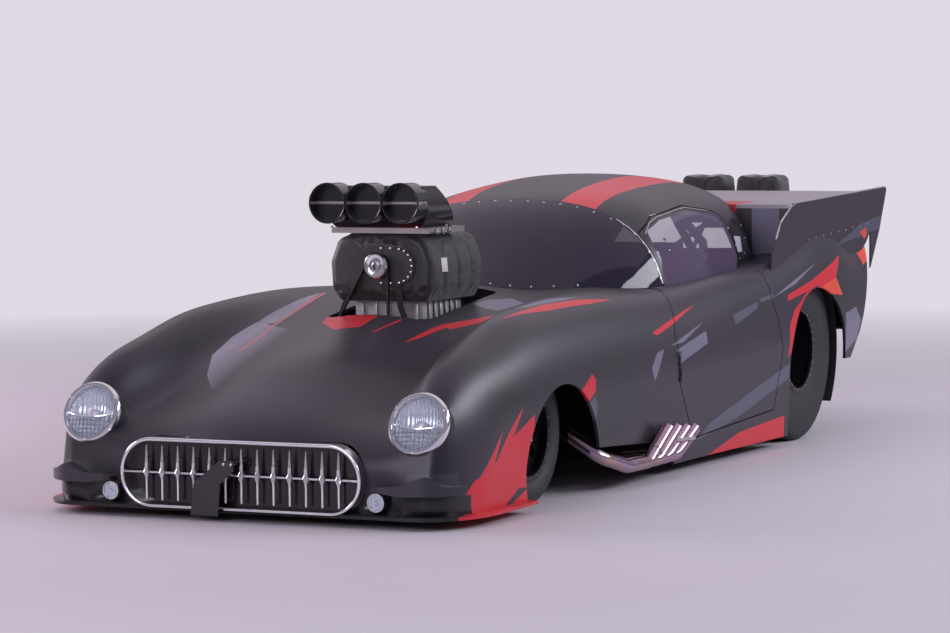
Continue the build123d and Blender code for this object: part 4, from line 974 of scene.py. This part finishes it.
# %%
SCREEN_EDGE = 0.181
edge = lifted([from_left("windscreen", SCREEN_EDGE, 0.822 + 0.036 * index) for index in range(9)], 0.001)
bar("screen_edge_left", alloy, edge, 0.003)
DOOR_TOP = [(0.136, 1.04), (0.05, 1.087), (-0.048, 1.112), (-0.25, 1.132), (-0.42, 1.144), (-0.62, 1.124)]
rail_met = [from_left("door_left", x, z) or from_left("door_window_left", x, z) for x, z in DOOR_TOP]
rail = lifted(rail_met, 0.002)
bar("drip_rail_left", alloy, rail, 0.0028, body="left_door")
RIVETS = [(-0.99, 1.045), (-0.965, 0.985), (-0.87, 0.915), (-0.775, 0.892), (-0.745, 1.04), (-0.76, 0.955)]
panel_rivets = kept(from_left("body_shell", x, z) for x, z in RIVETS)
studs("panel_rivets_left", silver, panel_rivets, 0.0055, 0.0025, 12)
HOLES = [(0.03, 1.012), (0.03, 0.968)]
window_holes = kept(from_left("door_window_left", x, z) for x, z in HOLES)
studs("window_grommets_left", gloss_black, window_holes, 0.01, 0.0015, 20, body="left_door")
print("edges", len(edge), len(rail), "rivets", len(panel_rivets), len(window_holes))

# %% [markdown]
# Wheels. A bolted ring locks the bead of each rear tyre, so its rim carries a circle of small bolts.
# The caps at the hubs are turned. Bolts and nuts are six-sided, and each ring of them is one, copied round.
# In the table a turned piece has its profile and steps, and bolts have ring, count, radius and height.


# %%
def circle(hub, side, radius, count):
    """Bolt places on the left wheel's outer face."""
    angles = [2 * math.pi * index / count for index in range(count)]
    return [((hub[0] + radius * math.cos(a), side, hub[1] + radius * math.sin(a)), (0, 1, 0)) for a in angles]


rear_hub = (REAR_AXLE, REAR_HUB_UP)
front_hub = (FRONT_AXLE, FRONT_HUB_UP)
BEAD_RING = [(186, 0), (186, 4), (204, 4), (208.5, 0)]
CAP = [(40, 0), (38, 12), (20, 16), (0, 16)]
SMALL_CAP = [(30, 0), (28, 12), (14, 16), (0, 16)]
BOLT_FACE = 0.9045
BEAD_FACE = 0.9005
REAR_FACE = 0.784
RIM_FACE = 0.8095
CAP_FACE = 0.796
NUT_FACE = 0.79
WHEEL_TRIM = [
    ("bead_bolts_left", bare_steel, rear_hub, BOLT_FACE, (0.194, 32, 0.006, 0.004)),
    ("bead_ring_left", rim_black, rear_hub, BEAD_FACE, (BEAD_RING, 96)),
    ("rear_nuts_left", silver, rear_hub, REAR_FACE, (0.058, 5, 0.013, 0.02)),
    ("rear_cap_left", alloy, rear_hub, REAR_FACE, (CAP, 48)),
    ("rim_bolts_left", bare_steel, front_hub, RIM_FACE, (0.181, 20, 0.004, 0.003)),
    ("front_cap_left", alloy, front_hub, CAP_FACE, (SMALL_CAP, 48)),
    ("front_nuts_left", silver, front_hub, NUT_FACE, (0.043, 5, 0.008, 0.012)),
]
for name, finish, hub, face, shape in WHEEL_TRIM:
    body = "rear_wheels" if hub == rear_hub else "left_front_wheel"
    if len(shape) == 2:
        profile, steps = shape
        turned(name, finish, profile, (hub[0], face, hub[1]), (0, 1, 0), steps, body=body)
    else:
        ring, count, radius, height = shape
        studs(name, finish, circle(hub, face, ring, count), radius, height, 6, body=body)
print("wheels dressed")

# %% [markdown]
# The supercharger's front: a bright pulley ring stands out before the black drive cover.
# The cover reaches to the car's left and is held by a ring of silver bolts. A pale gasket shows round it.
# Two webbing straps tie the blanket down to the engine.

# %%
PULLEY_RING = [(30, 0), (30, 10), (36, 12), (50, 12), (54.5, 8), (54.5, 0)]
PULLEY_HUB = [(12, 12), (17, 10), (17, -2), (28, -2), (30, 0), (30, 4)]
COVER_SIDE = 0.085
COVER_RING = 0.072
COVER_EDGE = 0.074
pulley_place = (ahead(-215), 0.0, DRIVE_UP)
turned("pulley_ring", chrome_trim, PULLEY_RING, pulley_place, (1, 0, 0), 64)
turned("pulley_hub", alloy, PULLEY_HUB, pulley_place, (1, 0, 0), 48)
cover_front = ahead(-236)
bolt_places = []
for index in range(9):
    turn = math.radians(-80 + 20 * index)
    across = COVER_SIDE + COVER_RING * math.cos(turn)
    bolt_places.append(((cover_front, across, DRIVE_UP + COVER_RING * math.sin(turn)), (1, 0, 0)))
for across in (0.012, 0.057):
    for hand in (-1, 1):
        bolt_places.append(((cover_front, across, DRIVE_UP + hand * COVER_EDGE), (1, 0, 0)))
studs("cover_bolts", silver, bolt_places, 0.0055, 0.005, 6)
GASKET = [(83, 0), (86, 0), (86, 5), (83, 5), (83, 0)]
turned("cover_gasket", label, GASKET, (ahead(-262), COVER_SIDE, DRIVE_UP), (1, 0, 0), 64)
tie_right = [(1.538, -0.08, 0.905), (1.538, -0.115, 0.86), (1.534, -0.165, 0.8), (1.5, -0.215, 0.72)]
strap("blanket_tie_right", webbing, tie_right, (0.0, 0.026, 0.01), 0.003)
tie_left = [(1.538, 0.092, 0.87), (1.538, 0.094, 0.83), (1.53, 0.096, 0.78), (1.49, 0.098, 0.72)]
strap("blanket_tie_left", webbing, tie_left, (0.0, 0.028, 0.0), 0.003, single=True)
print("supercharger dressed")

# %% [markdown]
# The manifold below the supercharger is a pale casting with ribs down its sides.
# Each rib is one plate, drawn once per side and set along the casting at an even pitch.

# %%
RIB_SHEET = 0.01
RIB_LOW = 0.69
RIB_HIGH = 0.79
MANIFOLD_FRONT = 1.448
for index in range(6):
    x = 1.4 - index * 0.052
    corners = [(x, 0.16, 0.7), (x, 0.176, 0.7), (x, 0.166, 0.795), (x, 0.16, 0.795)]
    plate(f"manifold_rib_left_{index}", cast_alloy, corners, RIB_SHEET, (-1, 0, 0))
for index in range(5):
    y = -0.13 + index * 0.065
    outline = [(y, RIB_LOW), (y + 0.012, RIB_LOW), (y + 0.012, RIB_HIGH), (y, RIB_HIGH)]
    corners = [(MANIFOLD_FRONT, side, up) for side, up in outline]
    plate(f"manifold_front_rib_{index}", cast_alloy, corners, RIB_SHEET, (1, 0, 0))
print("manifold ribs")

# %% [markdown]
# The injector hat feeds air and fuel through three bores. Each bore has a rolled lip at its mouth.
# A lever at the right-hand end turns the throttle plates. It has no joint here and is shown at rest.
# Three fittings stand out on the left of the hat's base, and a screw holds each corner of that base.

# %%
BORE_PITCH = 0.172
LIP = [(80, -4), (81, 1), (84, 2.5), (86.5, 0), (86.8, -6), (85.2, -10)]
for index in (-1, 0, 1):
    turned(f"bore_lip_{index + 2}", hat, LIP, (ahead(-100), index * BORE_PITCH, HAT_UP), (1, 0, 0), 72)
lever = [(x, -0.27, z) for x, z in ((1.648, 1.25), (1.625, 1.25), (1.616, 1.215), (1.64, 1.215))]
plate("hat_lever", alloy, lever, 0.004, (0, -1, 0))
FITTING = [(0, 28), (8, 28), (9, 20), (13, 19), (13, 8), (10, 0)]
for index in range(3):
    spot = (1.35 + 0.06 * index, 0.226, 1.098)
    turned(f"hat_fitting_{index}", alloy, FITTING, spot, (0, 1, 0), 12)
BASE_UP = 1.1165
corners = [(x, y, BASE_UP) for x in (1.585, 1.3) for y in (0.2, -0.2)]
studs("hat_screws", silver, [(corner, (0, 0, 1)) for corner in corners], 0.007, 0.006, 6)
print("hat dressed")

# %% [markdown]
# The exhaust tips are held together by a thin clamp.
# A slip joint shows as a raised ring on the first pipe.

# %%
clamp = [(0.69, 1.0165, 0.172), (0.59, 1.0165, 0.168), (0.49, 1.0165, 0.162)]
strap("header_clamp_left", alloy, clamp, (0.0, 0.0, 0.014), 0.002)
SLIP_JOINT = [(28, -6), (30, -6), (31, -3), (31, 3), (30, 6), (28, 6)]
pipe_way = (-0.19, 0.013, 0.128)
turned("slip_joint_left", heat, SLIP_JOINT, (ahead(-916), 0.9815, 0.1428), pipe_way, 48)
print("header clamp and joint")

# %% [markdown]
# A light edge strip runs along the top of each tail plate, and rivets hold the plates to the deck.

# %%
EDGE_SIDE = 0.8905
RIVET_SIDE = 0.894
above = [(-0.86 - index * 0.069, EDGE_SIDE, 2.0) for index in range(24)]
strip = lifted([meet("spill_plate_left", start, (0, 0, -1)) for start in above], 0.0)
bar("plate_edge_left", alloy, strip, 0.0042)
plate_rivets = [((-1.3 - 0.11 * index, RIVET_SIDE, 0.965 + 0.006 * index), (0, 1, 0)) for index in range(9)]
studs("plate_rivets_left", silver, plate_rivets, 0.005, 0.002, 10)
print("tail plates", len(strip))

# %% [markdown]
# Inside, a harness of flat webbing crosses the seat, and springs stand round the front dampers.
# A spring is a line that climbs as it turns, made into a round bar.

# %%
for index, side in enumerate((0.25, 0.41)):
    line = [(-0.41, side, 0.96), (-0.345, side, 0.8), (-0.318, side, 0.62), (-0.25, 0.33, 0.42)]
    strap(f"harness_{index}", webbing, line, (0.0, 0.045, 0.0), 0.003)
SPRING_START = 0.085
SPRING_LENGTH = 0.2
SPRING_RADIUS = 0.04
COIL_STEPS = 120
STEPS_PER_TURN = 15
knuckle_low, knuckle_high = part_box("knuckle_left")
kingpin = math.radians(8)
climb = Vector((0, -math.sin(kingpin), math.cos(kingpin)))
spring_top = Vector((FRONT_AXLE, knuckle_low[1] + 0.02, knuckle_high[2] - 0.01))
coil = []
for step in range(COIL_STEPS + 1):
    turn = 2 * math.pi * step / STEPS_PER_TURN
    centre = spring_top - climb * (SPRING_START + SPRING_LENGTH * step / COIL_STEPS)
    around = Vector((math.cos(turn), 0, 0)) + climb.cross(Vector((1, 0, 0))) * math.sin(turn)
    coil.append(centre + around * SPRING_RADIUS)
bar("spring_left", bare_steel, coil, 0.0045, body="left_knuckle")
print("harness and springs")

# %% [markdown]
# The blanket round the supercharger is loose quilted cloth, held by seams.
# Its outline is filled and extruded, then cut into a fine net by a voxel remesh.
# Blender's cloth makes the net a little too large for its form, so it creases between the seams that hold it.

# %%
BLANKET_SECTION = [(0.205, 0.806), (0.234, 0.85), (0.237, 0.97), (0.202, 1.06), (0.152, 1.0885)]
BLANKET_REAR = 1.034
BLANKET_FRONT = 1.52
BLANKET_NET = 0.011
SEAMS = (1.15, 1.275, 1.4)
SEAM_HALF = 0.006
FOOT_UP = 0.822
CREST_UP = 1.078
SWELL_LIMIT = 0.012


def hold(made, rule):
    """Names the corners that the cloth leaves in place."""
    held = made.vertex_groups.new(name="held")
    for vertex in made.data.vertices:
        if rule(vertex.co):
            held.add([vertex.index], 1.0, "REPLACE")


def swell(made, slack, pressure):
    """Runs the cloth for twenty frames and keeps every corner within a limit of its place."""
    rest = [vertex.co.copy() for vertex in made.data.vertices]
    fabric = made.modifiers.new("cloth", "CLOTH")
    fabric.settings.use_pressure = True
    fabric.settings.uniform_pressure_force = pressure
    fabric.settings.vertex_group_mass = "held"
    fabric.settings.shrink_min = -slack
    fabric.settings.effector_weights.gravity = 0
    for step in range(1, 21):
        bpy.context.scene.frame_set(step)
    bpy.ops.object.modifier_apply(modifier="cloth")
    bpy.context.scene.frame_set(1)
    for vertex, before in zip(made.data.vertices, rest):
        shift = vertex.co - before
        if shift.length > SWELL_LIMIT:
            vertex.co = before + shift.normalized() * SWELL_LIMIT


def sewn(spot):
    """True on a seam of the blanket, along its foot and along its crest."""
    seam = min(abs(spot.x - place) for place in SEAMS) < SEAM_HALF
    return seam or spot.z < FOOT_UP or spot.z > CREST_UP


def blanket():
    """Creased cloth cover round the supercharger."""
    half = [(BLANKET_REAR, side, up) for side, up in BLANKET_SECTION]
    other = [(x, -side, up) for x, side, up in reversed(half)]
    made = trace(half + other)
    bpy.ops.mesh.edge_face_add()
    reach = BLANKET_FRONT - BLANKET_REAR
    bpy.ops.mesh.extrude_region_move(TRANSFORM_OT_translate={"value": (reach, 0, 0)})
    pick_all()
    bpy.ops.mesh.normals_make_consistent(inside=False)
    bpy.ops.mesh.bevel(offset=0.018, segments=2)
    mode("OBJECT")
    made.data.remesh_voxel_size = BLANKET_NET
    bpy.ops.object.voxel_remesh()
    hold(made, sewn)
    swell(made, 0.06, 2.5)
    return settle(made, "blower_blanket", cloth, smooth=70)


cover_cloth = blanket()
print("blanket", len(cover_cloth.data.vertices))

# %% [markdown]
# A bare pale tag is sewn to the blanket's side. Its corners are found on the cloth by level rays.

# %%
tag = []
for x, z in ((1.44, 0.985), (1.385, 0.985), (1.385, 0.925), (1.44, 0.925)):
    place = cover_cloth.ray_cast(Vector((x, 0.5, z)), Vector((0, -1, 0)))[1]
    tag.append(place + Vector((0, 0.002, 0)))
plate("blanket_tag", label, tag, 0.0015, (0, 1, 0))
print("tag at", tag[0])

# %% [markdown]
# The two parachutes ride in soft packs above the deck. A pack is stuffed cloth, not a box.
# Each starts as a box with a narrower top and a fine net of faces. Blender's cloth then blows it up gently.
# The foot and a band over the middle are held, as by the tray and the tie, so the cloth bulges between them.
# A limit on how far a corner moves keeps the pack inside the space that its solid holds.

# %%
PACK_LOW = Vector((-2.748, 0.02, 1.006))
PACK_HIGH = Vector((-2.522, 0.29, 1.246))
PACK_MIDDLE = (PACK_LOW + PACK_HIGH) / 2
PACK_TAPER = (0.9, 0.8, 1.0)
PACK_EDGE = 0.022
TRAY_DEPTH = 0.03
BAND_HALF = 0.016


def tied(spot):
    """True at the foot of a pack, which the tray holds, and under its tie."""
    return spot.z < PACK_LOW.z + TRAY_DEPTH or abs(spot.y - PACK_MIDDLE.y) < BAND_HALF


def pack(name):
    """Left-hand parachute pack with its cloth blown up a little."""
    bpy.ops.mesh.primitive_cube_add(size=1, location=PACK_MIDDLE)
    made = bpy.context.object
    made.scale = PACK_HIGH - PACK_LOW
    bpy.ops.object.transform_apply()
    mode("EDIT")
    pick_top(made)
    top = (PACK_MIDDLE.x, PACK_MIDDLE.y, PACK_HIGH.z)
    bpy.ops.transform.resize(value=PACK_TAPER, center_override=top)
    bpy.ops.mesh.select_mode(type="VERT")
    pick_all()
    bpy.ops.mesh.bevel(offset=PACK_EDGE, segments=2)
    pick_all()
    bpy.ops.mesh.subdivide(number_cuts=9)
    bpy.ops.mesh.normals_make_consistent(inside=False)
    mode("OBJECT")
    hold(made, tied)
    swell(made, 0.03, 4.0)
    smooth = made.modifiers.new("smooth", "SUBSURF")
    smooth.levels = 1
    bpy.ops.object.modifier_apply(modifier="smooth")
    return settle(made, name, chute_cloth, smooth=60)


chute = pack("parachute_pack_left")
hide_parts("parachutes")
print("packs", len(chute.data.vertices))

# %% [markdown]
# A flat tie crosses each pack from front to back, and both packs stand on one thin tray.

# %%
TIE_STEPS = 12
inner = Vector((PACK_MIDDLE.x, PACK_MIDDLE.y, PACK_LOW.z + 0.09))
around = []
for index in range(TIE_STEPS + 1):
    turn = math.radians(8 + 164 * index / TIE_STEPS)
    outward = Vector((math.cos(turn), 0, math.sin(turn)))
    found, place, normal, _ = chute.ray_cast(inner + outward * 0.4, -outward)
    if found:
        around.append(place + normal * 0.0025)
strap("pack_tie_left", webbing, around, (0.0, 0.03, 0.0), 0.003)
tray = [(-2.752, -0.296, 1.000), (-2.518, -0.296, 1.000), (-2.518, 0.296, 1.000), (-2.752, 0.296, 1.000)]
plate("pack_tray", frame_paint, tray, 0.006, (0, 0, 1))
print("pack ties", len(around))
